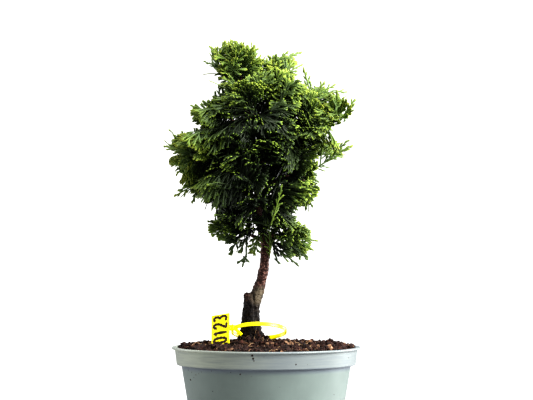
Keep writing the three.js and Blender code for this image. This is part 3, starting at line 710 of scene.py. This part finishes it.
# ---------------------------------------------------------------- tag
def tag_axes():
    """The plate's own directions: right, up and out of its face."""
    right = Vector(PLATE["right"]).normalized()
    up = Vector(PLATE["up"])
    up = (up - right * up.dot(right)).normalized()
    return right, up, right.cross(up)


def add_part(moulding, part):
    """Adds a mesh to the moulding and lets go of it."""
    moulding.from_mesh(part)
    bpy.data.meshes.remove(part)


def add_block(moulding, size, middle, turned_by, soft):
    """Adds a box with softened edges, all in millimetres."""
    box = bmesh.new()
    bmesh.ops.create_cube(box, size=1, matrix=Matrix.Diagonal((*[side * MM for side in size], 1)))
    bmesh.ops.bevel(box, geom=box.edges[:], offset=soft * MM, segments=3, profile=0.5, affect="EDGES")
    box.transform(Matrix.Translation(Vector(middle) * MM) @ turned_by)
    add_part(moulding, shaped("block", box))


def strap_mesh():
    """The strap, from the head round the trunk and back: a flat section with soft corners."""
    steps, section = 72, 10
    normal = Vector((0, STRAP["rise"], STRAP["depth"])).normalized()
    line = []
    for i in range(steps + 1):
        turn = math.pi + STRAP["open"] + (math.tau - 2 * STRAP["open"]) * i / steps
        c, s = math.cos(turn), math.sin(turn)
        ring = Vector((STRAP["across"] * c, STRAP["depth"] * s, -STRAP["rise"] * s))
        line.append(Vector(STRAP["middle"]) + ring)
    places = []
    for i, point in enumerate(line):
        side = tangent_at(line, i).cross(normal).normalized()
        for k in range(section):
            turn = math.tau * (k + 0.5) / section
            c, s = math.cos(turn), math.sin(turn)
            out = math.copysign(abs(c) ** 0.5, c) * STRAP["thickness"] / 2
            up = math.copysign(abs(s) ** 0.5, s) * STRAP["width"] / 2
            places.append(point + side * out + normal * up)
    faces = ring_faces(0, len(line), section)
    faces.append(list(reversed(range(section))))
    faces.append([len(places) - section + k for k in range(section)])
    return mesh_of("strap", places, faces)


def make_tag(finish):
    """Plate, neck, locking head and strap, one moulding with soft edges."""
    moulding = bmesh.new()
    facing = Matrix(tag_axes()).transposed().to_4x4()
    add_block(moulding, PLATE["size"], PLATE["middle"], facing, 0.42)
    # The neck joins the plate to the head, and the strap's tail hangs from the head down over the mix.
    for part in (NECK, HEAD, TAIL):
        turned_by = Matrix.Rotation(part["turn"], 4, "Z") @ Matrix.Rotation(part.get("slope", 0), 4, "Y")
        add_block(moulding, part["size"], part["middle"], turned_by, part["soft"])
    add_part(moulding, strap_mesh())
    bmesh.ops.recalc_face_normals(moulding, faces=moulding.faces[:])
    mesh = shaped("loop_tag", moulding)
    new_piece("loop_tag", mesh, finish, ["tag"])
    mesh.set_sharp_from_angle(angle=0.9)


# Each numeral as pen strokes in a box one wide and one high, drawn from the lower left corner.
NUMERALS = [
    [[(0.5, 0.02), (0.15, 0.16), (0.06, 0.5), (0.15, 0.84), (0.5, 0.98),
      (0.85, 0.84), (0.94, 0.5), (0.85, 0.16), (0.5, 0.02)]],
    [[(0.2, 0.74), (0.55, 0.98), (0.55, 0.02)]],
    [[(0.1, 0.74), (0.25, 0.94), (0.6, 0.98), (0.88, 0.8), (0.8, 0.55),
      (0.4, 0.28), (0.08, 0.04), (0.5, 0.07), (0.95, 0.02)]],
    [[(0.1, 0.84), (0.45, 0.98), (0.82, 0.84), (0.78, 0.6), (0.42, 0.52)],
     [(0.42, 0.52), (0.86, 0.42), (0.9, 0.14), (0.5, 0.02), (0.08, 0.14)]],
]


def penned(stroke):
    """A stroke's corners as a smooth run of points: four to a side, then evened out twice."""
    dense = []
    for (x0, y0), (x1, y1) in zip(stroke, stroke[1:]):
        dense += [(x0 + (x1 - x0) * k / 4, y0 + (y1 - y0) * k / 4) for k in range(4)]
    dense.append(stroke[-1])
    for _ in range(2):
        between = [tuple((a + 2 * b + c) / 4 for a, b, c in zip(*three))
                   for three in zip(dense, dense[1:], dense[2:])]
        dense = [dense[0], *between, dense[-1]]
    return dense


def write_numerals(finish):
    """The numerals 0 to 3 in marker, written up the plate and turned a quarter, as a film of ink."""
    right, up, out = tag_axes()
    middle = Vector(PLATE["middle"]) + out * (PLATE["size"][2] / 2 + 0.05)
    tall, wide, pitch, pen = 14.8, 5.2, 6.7, 1.15
    places, faces = [], []
    for i, strokes in enumerate(NUMERALS):
        foot = (i - 1.5) * pitch - wide / 2
        for stroke in strokes:
            line = [middle + up * (foot + wide * x) - right * (tall * (y - 0.5)) for x, y in penned(stroke)]
            widths = [pen * (1 + 0.25 * math.sin(2.1 * k + i)) for k in range(len(line))]
            tube(places, faces, line, widths, 8, 0.18, out)
    new_piece("tag_numerals", mesh_of("tag_numerals", places, faces), finish)


# ---------------------------------------------------------------- foliage
class Crown:
    """Where there is foliage: its reach at each height, and its outline from the front and the side."""

    STEP = 8  # between the heights
    CELL = 3  # of the outlines
    GAP = 10  # cells: a narrower gap inside the side's outline counts as filled
    BARE = 226  # the height up to which the trunk shows between the lowest sprays
    LOOKED_AT = 80  # inner cells at a time, to find the one that shows the most light
    BARRED = 99  # stands in for the leaves of a cell where nothing can grow
    AROUND = [(i, k) for i in (-1, 0, 1) for k in (-1, 0, 1)]  # a cell and its neighbours

    def __init__(self, sprays, wood):
        corners = [v.co / MM for spray in sprays for v in spray.vertices]
        self.slices = {}
        for p in corners:
            here = round(p.z / self.STEP)
            for k in (here - 1, here, here + 1):
                low_x, high_x, low_y, high_y = self.slices.get(k, (p.x, p.x, p.y, p.y))
                self.slices[k] = (min(low_x, p.x), max(high_x, p.x), min(low_y, p.y), max(high_y, p.y))
        self.low, self.high = min(p.z for p in corners), max(p.z for p in corners)
        middles = [f.center / MM for mesh in (*sprays, wood) for f in mesh.polygons]
        corners += [p for p in middles if p.z > self.low]
        self.front = self.lobe_cells()
        self.side = self.outline([(p.y, p.z) for p in corners])
        self.margin = {(z + i, across + k) for z, across in self.front for i, k in self.AROUND}
        self.leaves = {}  # how many pairs of leaves each cell of the two outlines holds
        self.inner = {"front": self.inner_cells(self.front), "side": self.inner_cells(self.side)}
        self.ribs = []  # places on the ribs of the sprays that have grown

    def lobe_cells(self):
        """The cells that the lobes cover, as pairs of a height and a place across."""
        cells = set()
        for x, z, half_width, half_height in LOBES:
            wide, tall = half_width / self.CELL, half_height / self.CELL
            for i in range(round(z / self.CELL - tall), round(z / self.CELL + tall) + 1):
                for k in range(round(x / self.CELL - wide), round(x / self.CELL + wide) + 1):
                    if ((i - z / self.CELL) / tall) ** 2 + ((k - x / self.CELL) / wide) ** 2 <= 1:
                        cells.add((i, k))
        return cells

    def outline(self, spots):
        """The cells that hold foliage, as pairs of a height and a place across."""
        rows = {}
        for across, z in spots:
            rows.setdefault(round(z / self.CELL), set()).add(round(across / self.CELL))
        cells = set()
        for z, row in rows.items():
            last = None
            for across in sorted(row):
                start = last + 1 if last is not None and across - last <= self.GAP else across
                cells.update((z, k) for k in range(start, across + 1))
                last = across
        return cells

    def inner_cells(self, outline):
        """The cells at least two away from an outline's edge, above the bare trunk."""
        steps = ((2, 0), (-2, 0), (0, 2), (0, -2))
        return sorted(cell for cell in outline if cell[0] * self.CELL > self.BARE
                      and all((cell[0] + i, cell[1] + k) in outline for i, k in steps))

    def thinnest(self, view, draw):
        """Of some inner cells, the one that still shows the most light."""
        def cover(cell):
            return sum(min(9, self.leaves.get((view, cell[0] + i, cell[1] + k), 0)) for i, k in self.AROUND)
        spots = draw.sample(self.inner[view], self.LOOKED_AT)
        return min([cell for cell in spots if self.leaves.get((view, *cell), 0) < self.BARRED], key=cover)

    def cells_of(self, p):
        """The cells that a place falls in, seen from the front and from the side."""
        z = round(p.z / self.CELL)
        return ("front", z, round(p.x / self.CELL)), ("side", z, round(p.y / self.CELL))

    def holds(self, p):
        """Whether a place lies inside both outlines."""
        front, side = self.cells_of(p)
        return front[1:] in self.front and side[1:] in self.side

    def near(self, p):
        """Whether a place is no more than a cell outside the lobes."""
        return self.cells_of(p)[0][1:] in self.margin

    def leaf_at(self, p):
        """Counts a pair of leaves."""
        for cell in self.cells_of(p):
            self.leaves[cell] = self.leaves.get(cell, 0) + 1

    def nearest_rib(self, p):
        return min(self.ribs, key=lambda rib: (rib - p).length)

    def fullness(self, fan):
        """How well the crown is filled where a fan would lie; what shows from the front counts double."""
        total = 0
        for u in (0.25, 0.45, 0.65, 0.85):
            for v in (-0.5, 0, 0.5):
                front, side = self.cells_of(fan.place(u * fan.length, v * fan.width))
                total += 2 * min(6, self.leaves.get(front, 0)) + min(6, self.leaves.get(side, 0))
        return total

    def share(self, p):
        """How near to the crown's outside a place is: 0 at the middle, 1 at the reach, more beyond it."""
        if not self.low <= p.z <= self.high:
            return 2.0
        low_x, high_x, low_y, high_y = self.slices[round(p.z / self.STEP)]
        x = (2 * p.x - low_x - high_x) / max(high_x - low_x, 1)
        y = (2 * p.y - low_y - high_y) / max(high_y - low_y, 1)
        return math.hypot(x, y) ** 0.5 * max(abs(x), abs(y)) ** 0.5

    def painted_light_and_shade(self, p):
        """How much painted light a leaf gets: most at the crown's top, foot and sides, and none deep inside,
        where its colour is painted shade.
        """
        height = (p.z - self.low) / (self.high - self.low)
        # Painted light: the top, the foot and the right and left sides are made lighter; nearness to the
        # middle gives the inside painted shade.
        sunny = 0.09 + 2.8 * max(0, height - 0.62) + 0.018 * max(0, p.x - 16) + 0.022 * max(0, -p.x - 32)
        sunny += 2.8 * max(0, 0.26 - height)
        outside = clamped(1.8 * self.share(p) - 0.5 + 0.012 * max(0, p.x - 10))
        return clamped(sunny) * max(outside, min(1.0, 5 * height - 3.0))


class Fan:
    """The arched sheet that a spray grows in. s runs along its rib and t across it."""

    BINS = 26  # the directions in which a fan keeps how far it reaches

    def __init__(self, foot, forward, normal, chord, droop=YOUNG_DROOP):
        half = droop / 2
        self.foot, self.across = foot, normal.cross(forward)
        self.start = forward * math.cos(half) + normal * math.sin(half)
        self.up = normal * math.cos(half) - forward * math.sin(half)
        self.length = chord * half / math.sin(half)
        self.radius = self.length / droop
        self.width = 0.6 * self.length  # to either side of the rib
        self.reaches = None
        self.free = False  # to stand out of the crown
        self.spread = 0.0  # how far past the outline it may reach, as a share of the way from the middle

    def place(self, s, t, lift=0.0):
        """The place over a spot of the sheet."""
        angle = s / self.radius
        height = self.radius + CUP * (t / self.width) ** 2 + lift
        return (self.foot + self.across * t + self.start * (height * math.sin(angle))
                + self.up * (height * math.cos(angle) - self.radius))

    def facing(self, s):
        """Out of the sheet, at a place along the rib."""
        angle = s / self.radius
        return self.start * math.sin(angle) + self.up * math.cos(angle)

    def unroll(self, p):
        """Where on the sheet a place lies."""
        offset = p - self.foot
        angle = math.atan2(offset.dot(self.start), offset.dot(self.up) + self.radius)
        return self.radius * angle, offset.dot(self.across)

    def bin_of(self, s, t):
        return clamped(int((math.atan2(t, s) / math.pi + 0.5) * self.BINS), 0, self.BINS - 1)

    def fit(self, corners):
        """Takes its width, and its reach in each direction, from a solid spray's corners."""
        spots = [self.unroll(p) for p in corners]
        self.width = max(abs(t) for _, t in spots)
        reaches = [0.0] * self.BINS
        for s, t in spots:
            here = self.bin_of(s, t)
            for k in (here - 1, here, here + 1):
                if 0 <= k < self.BINS:
                    reaches[k] = max(reaches[k], math.hypot(s, t))
        self.reaches = reaches

    def share(self, s, t):
        """How far out a spot is: 1 at the spray's edge."""
        if self.reaches:
            return math.hypot(s, t) / max(self.reaches[self.bin_of(s, t)], 1)
        return math.hypot(s / self.length, 0.55 * t / self.width)


def solid_fan(node, wood):
    """The sheet of a solid spray: it leaves the wood at its nearest corners and reaches to its furthest."""
    corners = [v.co / MM for v in node.data.vertices]
    near = sorted(corners, key=lambda p: wood.find_nearest(p * MM)[3])[:4]
    foot = sum(near, Vector()) / len(near)
    tip = max(corners, key=lambda p: (p - foot).length)
    forward = (tip - foot).normalized()
    first = forward.orthogonal().normalized()
    second = forward.cross(first)
    flat = [((p - foot).dot(first), (p - foot).dot(second)) for p in corners]
    square, cross = sum(a * a - b * b for a, b in flat), sum(a * b for a, b in flat)
    turn = 0.5 * math.atan2(2 * cross, square)
    normal = second * math.cos(turn) - first * math.sin(turn)
    if sum((p - foot).dot(normal) for p in corners) < 0:
        normal = -normal
    fan = Fan(foot, forward, normal, (tip - foot).length, DROOP)
    fan.fit(corners)
    return fan


class Leafage:
    """The corners, faces and growth values of one piece of foliage while it is laid."""

    def __init__(self, crown, grain=1.0, sun=None, young=0.0):
        self.crown, self.grain, self.sun, self.young = crown, grain, sun, young
        self.places, self.faces, self.growth = [], [], []

    def sheathe(self, line, facing, widths, ages, tone):
        """Wraps a twig in scale leaves: a flat four-cornered tube, wider where a pair of leaves ends."""
        first = len(self.places)
        along = 0.0
        for i, point in enumerate(line):
            tangent = tangent_at(line, i)
            side = tangent.cross(facing[i]).normalized()
            rise = side.cross(tangent) * (LEAF_THICKNESS / 2 * min(1, widths[i] / 1.2))
            half = side * (widths[i] / 2)
            along += (point - line[i - 1]).length if i else 0
            # Each leaf takes the crown's painted light and shade, unless the piece is given a fixed share of
            # painted light.
            sun = self.crown.painted_light_and_shade(point) if self.sun is None else self.sun
            self.crown.leaf_at(point)
            value = (max(self.young, ages[i]), tone, sun, along)
            self.places += [point - half, point + rise, point + half, point - rise]
            self.growth += [value] * 4
        self.faces += ring_faces(first, len(line), 4)
        self.faces.append([len(self.places) - 4 + k for k in range(4)])

    def piece(self, name, finish, nodes=()):
        """The finished piece; its leaves' age, tone, painted light and shade, and way along the twig are kept
        as a colour.
        """
        mesh = mesh_of(name, self.places, self.faces)
        values = mesh.color_attributes.new(name="growth", type="FLOAT_COLOR", domain="POINT")
        values.data.foreach_set("color", [x for value in self.growth for x in value])
        new_piece(name, mesh, finish, nodes)


def full_reach(order, fan, length, u):
    """How long a twig grows that leaves its parent at a share u of the parent's length."""
    if order == 0:
        return fan.width * 1.3 * (1 - u) ** 0.6 * (0.62 + 0.8 * u)
    if order == 1:
        return min(14, 2.5 + 0.62 * length * (1 - u) ** 0.7)
    return min(6, 1.5 + 0.5 * length * (1 - u))


def kept_inside(crown, fan, base, aim, reach, lift, slope):
    """A twig's reach, cut back until its tip stays within its spray and the crown."""
    allowed = crown.near if fan.reaches else crown.holds
    while reach > SHORTEST:
        end = base[0] + reach * math.cos(aim), base[1] + reach * math.sin(aim)
        tip = fan.place(*end, lift + slope * reach - SAG / 2 * reach ** 2)
        if fan.share(*end) <= 1.02 and (fan.free or allowed(tip - (tip - CROWN_MIDDLE) * fan.spread)):
            break
        reach *= SHRINK
    return reach


def lay_twig(leafage, fan, spot, heading, curl, length, order, lift, slope, draw, tone):
    """Lays one twig on its fan's sheet, and the shorter ones on its alternate sides."""
    grain = leafage.grain
    steps = max(2, round(length / LEAF / grain))
    step = length / steps
    s, t = spot
    spots, headings = [(s, t, lift)], []
    for i in range(steps):
        turn = heading + curl * (i + 0.5) / steps
        s, t, lift = s + step * math.cos(turn), t + step * math.sin(turn), lift + slope * step
        slope -= SAG * step
        spots.append((s, t, lift))
        headings.append(turn)
    shares = [fan.share(s, t) for s, t, _ in spots]
    own = [i / steps for i in range(steps + 1)]
    # The leaves are younger towards the spray's edge and the twig's own tip.
    ages = [min(1, 0.4 * share ** 3 + (0.5 * u ** 4 if order > 1 else 0.2 * u))
            for share, u in zip(shares, own)]
    width = TWIG_WIDTHS[order] * grain ** 0.5
    widths = [width * (1 if i % 2 else 0.84) for i in range(steps + 1)]
    widths[-2:] = [1.1 * width, 0.7 * width]
    line = [fan.place(*spot) for spot in spots]
    leafage.sheathe(line, [fan.facing(s) for s, _, _ in spots], widths, ages, tone)
    child = order + 1
    if child > 3 or length < 2.2 * SHORTEST:
        return
    side = draw.choice((-1, 1))
    at = FIRST_TWIGS[order]
    while at < length - 0.8:
        u = at / length
        i = min(int(at / step), steps - 1)
        (s0, t0, l0), (s1, t1, l1) = spots[i], spots[i + 1]
        part = at / step - i
        base = (s0 + (s1 - s0) * part, t0 + (t1 - t0) * part)
        away = headings[i] + side * ANGLES[child] * (1 - 0.3 * u)
        reach = full_reach(order, fan, length, u) * draw.uniform(0.82, 1.08)
        raised, tilt = l0 + (l1 - l0) * part, slope + draw.uniform(-0.2, 0.22) / child
        reach = kept_inside(leafage.crown, fan, base, away - side * CURLS[child] / 2, reach, raised, tilt)
        if reach > SHORTEST:
            shade = clamped(tone + draw.uniform(-0.12, 0.12))
            lay_twig(leafage, fan, base, away, -side * CURLS[child], reach, child, raised, tilt, draw, shade)
        side = -side
        at += SPACINGS[child] * grain * draw.uniform(0.88, 1.12)


def lay_spray(leafage, fan, draw, tone=None):
    """A whole spray, from just inside the wood to its tip."""
    tone = draw.uniform(0.2, 0.8) if tone is None else tone
    sunk, curl = 2.5, draw.uniform(-0.06, 0.06)
    lay_twig(leafage, fan, (-sunk, 0), 0, curl, fan.length + sunk, 0, 0, 0.02, draw, tone)
    leafage.crown.ribs += [fan.place(u * fan.length, 0) for u in (0.25, 0.5, 0.75)]


# Spots of a fan, as shares of its length and its width.
ALONG_RIB = ((1, 0), (0.8, 0), (0.6, 0), (0.4, 0), (0.2, 0))
FAN_EDGE = ((1, 0), (0.9, 0.25), (0.9, -0.25), (0.75, 0.55), (0.75, -0.55), (0.5, 0.75), (0.5, -0.75))


def within(crown, foot, forward, normal, chord, shortest, spots=FAN_EDGE):
    """The longest fan up to chord whose spots all lie inside the crown's outlines, if there is one."""
    forward = forward.normalized()
    normal = (normal - forward * normal.dot(forward)).normalized()
    while chord > shortest:
        fan = Fan(foot, forward, normal, chord)
        if all(crown.holds(fan.place(u * fan.length, v * fan.width)) for u, v in spots):
            return fan
        chord *= SHRINK
    return None


def companion(crown, fan, draw):
    """A spray on another one's rib, beside it and a little above or below, where the crown is thinnest."""
    found = []
    for k in range(10):
        s = fan.length * draw.uniform(0.05, 0.45)
        facing = fan.facing(s)
        ahead = fan.across.cross(facing)
        turn = (-1 if k % 2 else 1) * draw.uniform(0.1, 0.9)
        forward = Matrix.Rotation(turn, 3, facing) @ ahead + facing * draw.uniform(-0.45, 0.5)
        normal = Matrix.Rotation(draw.uniform(-0.8, 0.8), 3, forward) @ facing
        chord = fan.length * draw.uniform(0.6, 0.85)
        found.append(within(crown, fan.place(s, 0), forward, normal, chord, 14))
    return min([made for made in found if made], key=crown.fullness, default=None)


def inner_fan(crown, wood, view, draw):
    """A spray from the wood, or from another one's rib, to where the light still comes through the crown."""
    z, across = crown.thinnest(view, draw)
    other = crown.side if view == "front" else crown.front
    depths = sorted(k for height, k in other if height == z)
    found = []
    for _ in range(12):
        depth = draw.choice(depths)
        x, y = (across, depth) if view == "front" else (depth, across)
        spot = Vector((x, y, z)) * crown.CELL + Vector([draw.uniform(-1.5, 1.5) for _ in range(3)])
        if crown.share(spot) > 0.85:
            continue
        lower = spot - Vector((0, 0, 8))
        # It starts a little lower, and the spot lies at 0.62 of the way to its tip.
        for foot in (wood.find_nearest(lower * MM)[0] / MM, crown.nearest_rib(lower)):
            reach = (spot - foot).length
            if not 8 < reach < 38 or foot.z < crown.BARE - 8:
                continue
            outward = Vector((spot.x, spot.y, 0)).normalized()
            normal = outward * draw.uniform(0.2, 1.4) + Vector((0, 0, 1)) + wander(draw, 0.35)
            found.append(within(crown, foot, spot - foot, normal, reach / 0.62, 12, ALONG_RIB))
    found = [made for made in found if made]
    if not found:
        crown.leaves[view, z, across] = crown.BARRED
        return None
    return min(found, key=crown.fullness)


# A young upright shoot in front of the trunk, and the thin ones that hang below the lowest sprays: foot, tip
# and half width. Where there is no width the twig is bare.
YOUNG_SHOOT = [((3, -5, 210), (5, -50, 247), 6), ((4.8, -46, 240), (15, -60, 271), 5.5)]
HANGING_SHOOTS = [
    ((-16.5, -9, 222), (-19, -11, 207), 0), ((-19, -11, 208.5), (-26, -13, 203), 4),
    ((-19, -11, 208), (-21.5, -13, 200), 3), ((-19, -11, 208), (-15, -13, 204), 3),
    ((8, -8, 214), (9.3, -11, 205), 0), ((9.2, -11, 206), (13, -12, 202.5), 2.5),
    ((11, -10, 215), (30, -15, 202), 4.5), ((24, -12, 218), (38, -14, 207), 6),
    ((-24, -8, 228), (-33, -12, 211), 6), ((-17, -6, 228), (-24, -10, 212), 6),
    ((3, -6, 228), (9, -12, 211), 6),
]
# Shoots beside the trunk, shown pale by full painted light: foot, tip and half width.
PALE_SHOOTS = [((-6, 5, 232), (-11, 12, 208), 9), ((-5, -4, 233), (-13, -9, 212), 8)]
# Single sprays that stand out of the crown's outline: the tip's x, y and z, the length, and the heading in
# degrees as seen from the front, from level to the right.
LONE_SPRAYS = [
    (-22, -4, 402, 22, 100), (-8, -4, 397, 20, 60), (-49, -6, 399, 22, 138), (-56, -3, 386, 22, 170),
    (32, -4, 397, 24, 20), (20, -8, 394, 18, 45), (1, -6, 388, 16, 90), (33, -6, 379, 22, 85),
    (52, -4, 367, 20, 60), (62, -4, 365, 22, 45), (72, -8, 359, 22, 38), (79, 0, 352, 20, 28),
    (79, -4, 347, 20, 15), (77, -6, 311, 24, 10), (73, -8, 315, 22, 22), (74, -4, 308, 22, 12),
    (60, 0, 298, 18, -10), (58, 4, 290, 20, -25), (48, -12, 276, 18, -20), (42, -14, 253, 20, -40),
    (35, -14, 250, 18, -60), (42, -16, 214, 22, -40), (-92, -6, 310, 26, 172), (-84, -12, 325, 24, 138),
    (-86, 6, 293, 22, 200), (-82, -10, 283, 22, 205), (-83, -10, 263, 26, 200), (-80, -8, 268, 22, 190),
    (-66, -14, 257, 18, 235), (-68, -8, 346, 18, 150), (-53, -14, 243, 18, 165), (-51, -14, 232, 18, 195),
]


def lay_narrow_spray(leafage, foot, forward, facing, draw, tone=None, width=None):
    """A narrow spray that may stand out of the crown; its half width follows its length if none is given."""
    fan = Fan(foot, forward.normalized(), facing, forward.length)
    fan.width = width or min(6, 0.26 * fan.length)
    fan.free = True
    lay_spray(leafage, fan, draw, tone)


def narrow_shoots(leafage, shoots, draw, tone):
    """Narrow sprays that face the light in front."""
    for foot, tip, width in shoots:
        foot, forward = Vector(foot), Vector(tip) - Vector(foot)
        across = forward.cross(Vector((0.2, -1, 0.3))).normalized()
        facing = across.cross(forward).normalized()
        if not width:
            line = [foot + forward * (k / 6) + across * (0.6 * math.sin(k)) for k in range(7)]
            leafage.sheathe(line, [facing] * 7, [1.7] * 7, [0.05] * 7, tone)
        else:
            lay_narrow_spray(leafage, foot, forward, facing, draw, tone, width)
    return leafage


def lone_sprays(leafage, draw):
    """Narrow sprays that end where they are told, each from the rib nearest to where it should start."""
    for x, y, z, length, degrees in LONE_SPRAYS:
        tip, turn = Vector((x, y, z)), math.radians(degrees)
        start = tip - Vector((math.cos(turn), 0, math.sin(turn))) * length
        foot = leafage.crown.nearest_rib(start)
        forward = tip - foot
        normal = Vector((-0.4 * math.cos(turn), -1, 0.6)) + wander(draw, 0.25)
        normal = (normal - forward * (normal.dot(forward) / forward.length_squared)).normalized()
        lay_narrow_spray(leafage, foot, forward, normal, draw)
    return leafage


def lay_found(leafage, fan, draw, least_spread):
    """Lays the spray for which a place was found, if one was."""
    if fan:
        fan.spread = draw.uniform(least_spread, 0.06)
        lay_spray(leafage, fan, draw)


def make_foliage(finish):
    """Every solid spray in fine leaf, then the shoots, the companions and the growth inside the crown."""
    nodes = frame["nodes"]
    trunk = nodes["trunk"].data
    wood = BVHTree.FromPolygons([v.co for v in trunk.vertices], [p.vertices[:] for p in trunk.polygons])
    names = sorted(name for name in nodes if "_spray_" in name)
    crown = Crown([nodes[name].data for name in names], trunk)
    limbs = {}
    for i, name in enumerate(names):
        fan, draw, leafage = solid_fan(nodes[name], wood), random.Random(1000 + i), Leafage(crown)
        lay_spray(leafage, fan, draw)
        leafage.piece(f"fine_{name}", finish, [name])
        limbs.setdefault(name.split("_spray_")[0], []).append((fan, draw))
    # Each set of shoots gets a fixed share of painted light instead of the crown's painted light and shade.
    for name, shoots, seed, tone, kind in (
            ("front_shoot", YOUNG_SHOOT, 8, 0.6, dict(sun=0.45, young=0.55)),
            ("hanging_shoots", HANGING_SHOOTS, 9, 0.3, dict(grain=1.3, sun=0.4)),
            ("pale_shoots", PALE_SHOOTS, 12, 0.3, dict(sun=1.0))):
        narrow_shoots(Leafage(crown, **kind), shoots, random.Random(seed), tone).piece(name, finish)
    lone_sprays(Leafage(crown), random.Random(10)).piece("lone_sprays", finish)
    for limb, fans in limbs.items():
        leafage = Leafage(crown, grain=1.2)
        for fan, draw in fans * 2:
            lay_found(leafage, companion(crown, fan, draw), draw, -0.07)
        leafage.piece(f"companions_{limb}", finish)
    draw = random.Random(80)
    for part in ("first", "second", "third"):
        leafage = Leafage(crown, grain=1.5)
        for i in range(INNER_FANS):
            view = "side" if i % 4 == 3 else "front"
            lay_found(leafage, inner_fan(crown, wood, view, draw), draw, -0.1)
        leafage.piece(f"{part}_inner_growth", finish)


# ---------------------------------------------------------------- the whole tree
set_camera()
set_lights()
lay_floor()
mix = damp_potting_mix("damp_potting_mix", "#0c0705", "#31190f", "#5c3626")
wet_mix = damp_potting_mix("wet_potting_mix", "#080503", "#20120c", "#4a2f21")
chips = damp_potting_mix("dry_bark_chips", "#4a2f20", "#7c5f46", "#b89c80")
make_pot(moulded_polypropylene())
splash_pot(mix)
make_soil(mix)
crumb_draw = random.Random(11)
scatter_crumbs("peat_crumbs", mix, crumb_draw, 1300, (1.2, 5.5), (1, 0.8, 0.7), 8, 78)
scatter_crumbs("dark_crumbs", wet_mix, crumb_draw, 420, (1.2, 4.5), (1, 0.8, 0.7), 16, 77)
make_mound(wet_mix)
on_foot = dict(shape=(1, 0.9, 0.8), middle=(SOIL["foot_x"], 0), heap=mound_height)
scatter_crumbs("foot_crumbs", wet_mix, crumb_draw, 230, (1.4, 3.8), nearest=7, furthest=17, **on_foot)
scatter_crumbs("dry_foot_crumbs", mix, crumb_draw, 150, (1.2, 3.2), nearest=8, furthest=17, **on_foot)
scatter_crumbs("right_heap", mix, crumb_draw, 110, (1.8, 5), (1, 0.8, 0.8), 0, 12,
               middle=(58, -8), heap=lambda r: 4 - r / 3)
scatter_crumbs("bark_chips", chips, crumb_draw, 75, (2.5, 7.5), (1.3, 0.8, 0.4), 16, 77)
lay_fibres(damp_potting_mix("dry_root_fibre", "#6b5138", "#a88a68", "#d6c0a0"))
make_wood(cypress_bark())
make_tag(moulded_polyethylene())
write_numerals(marker_ink())
make_foliage(scale_leaves())
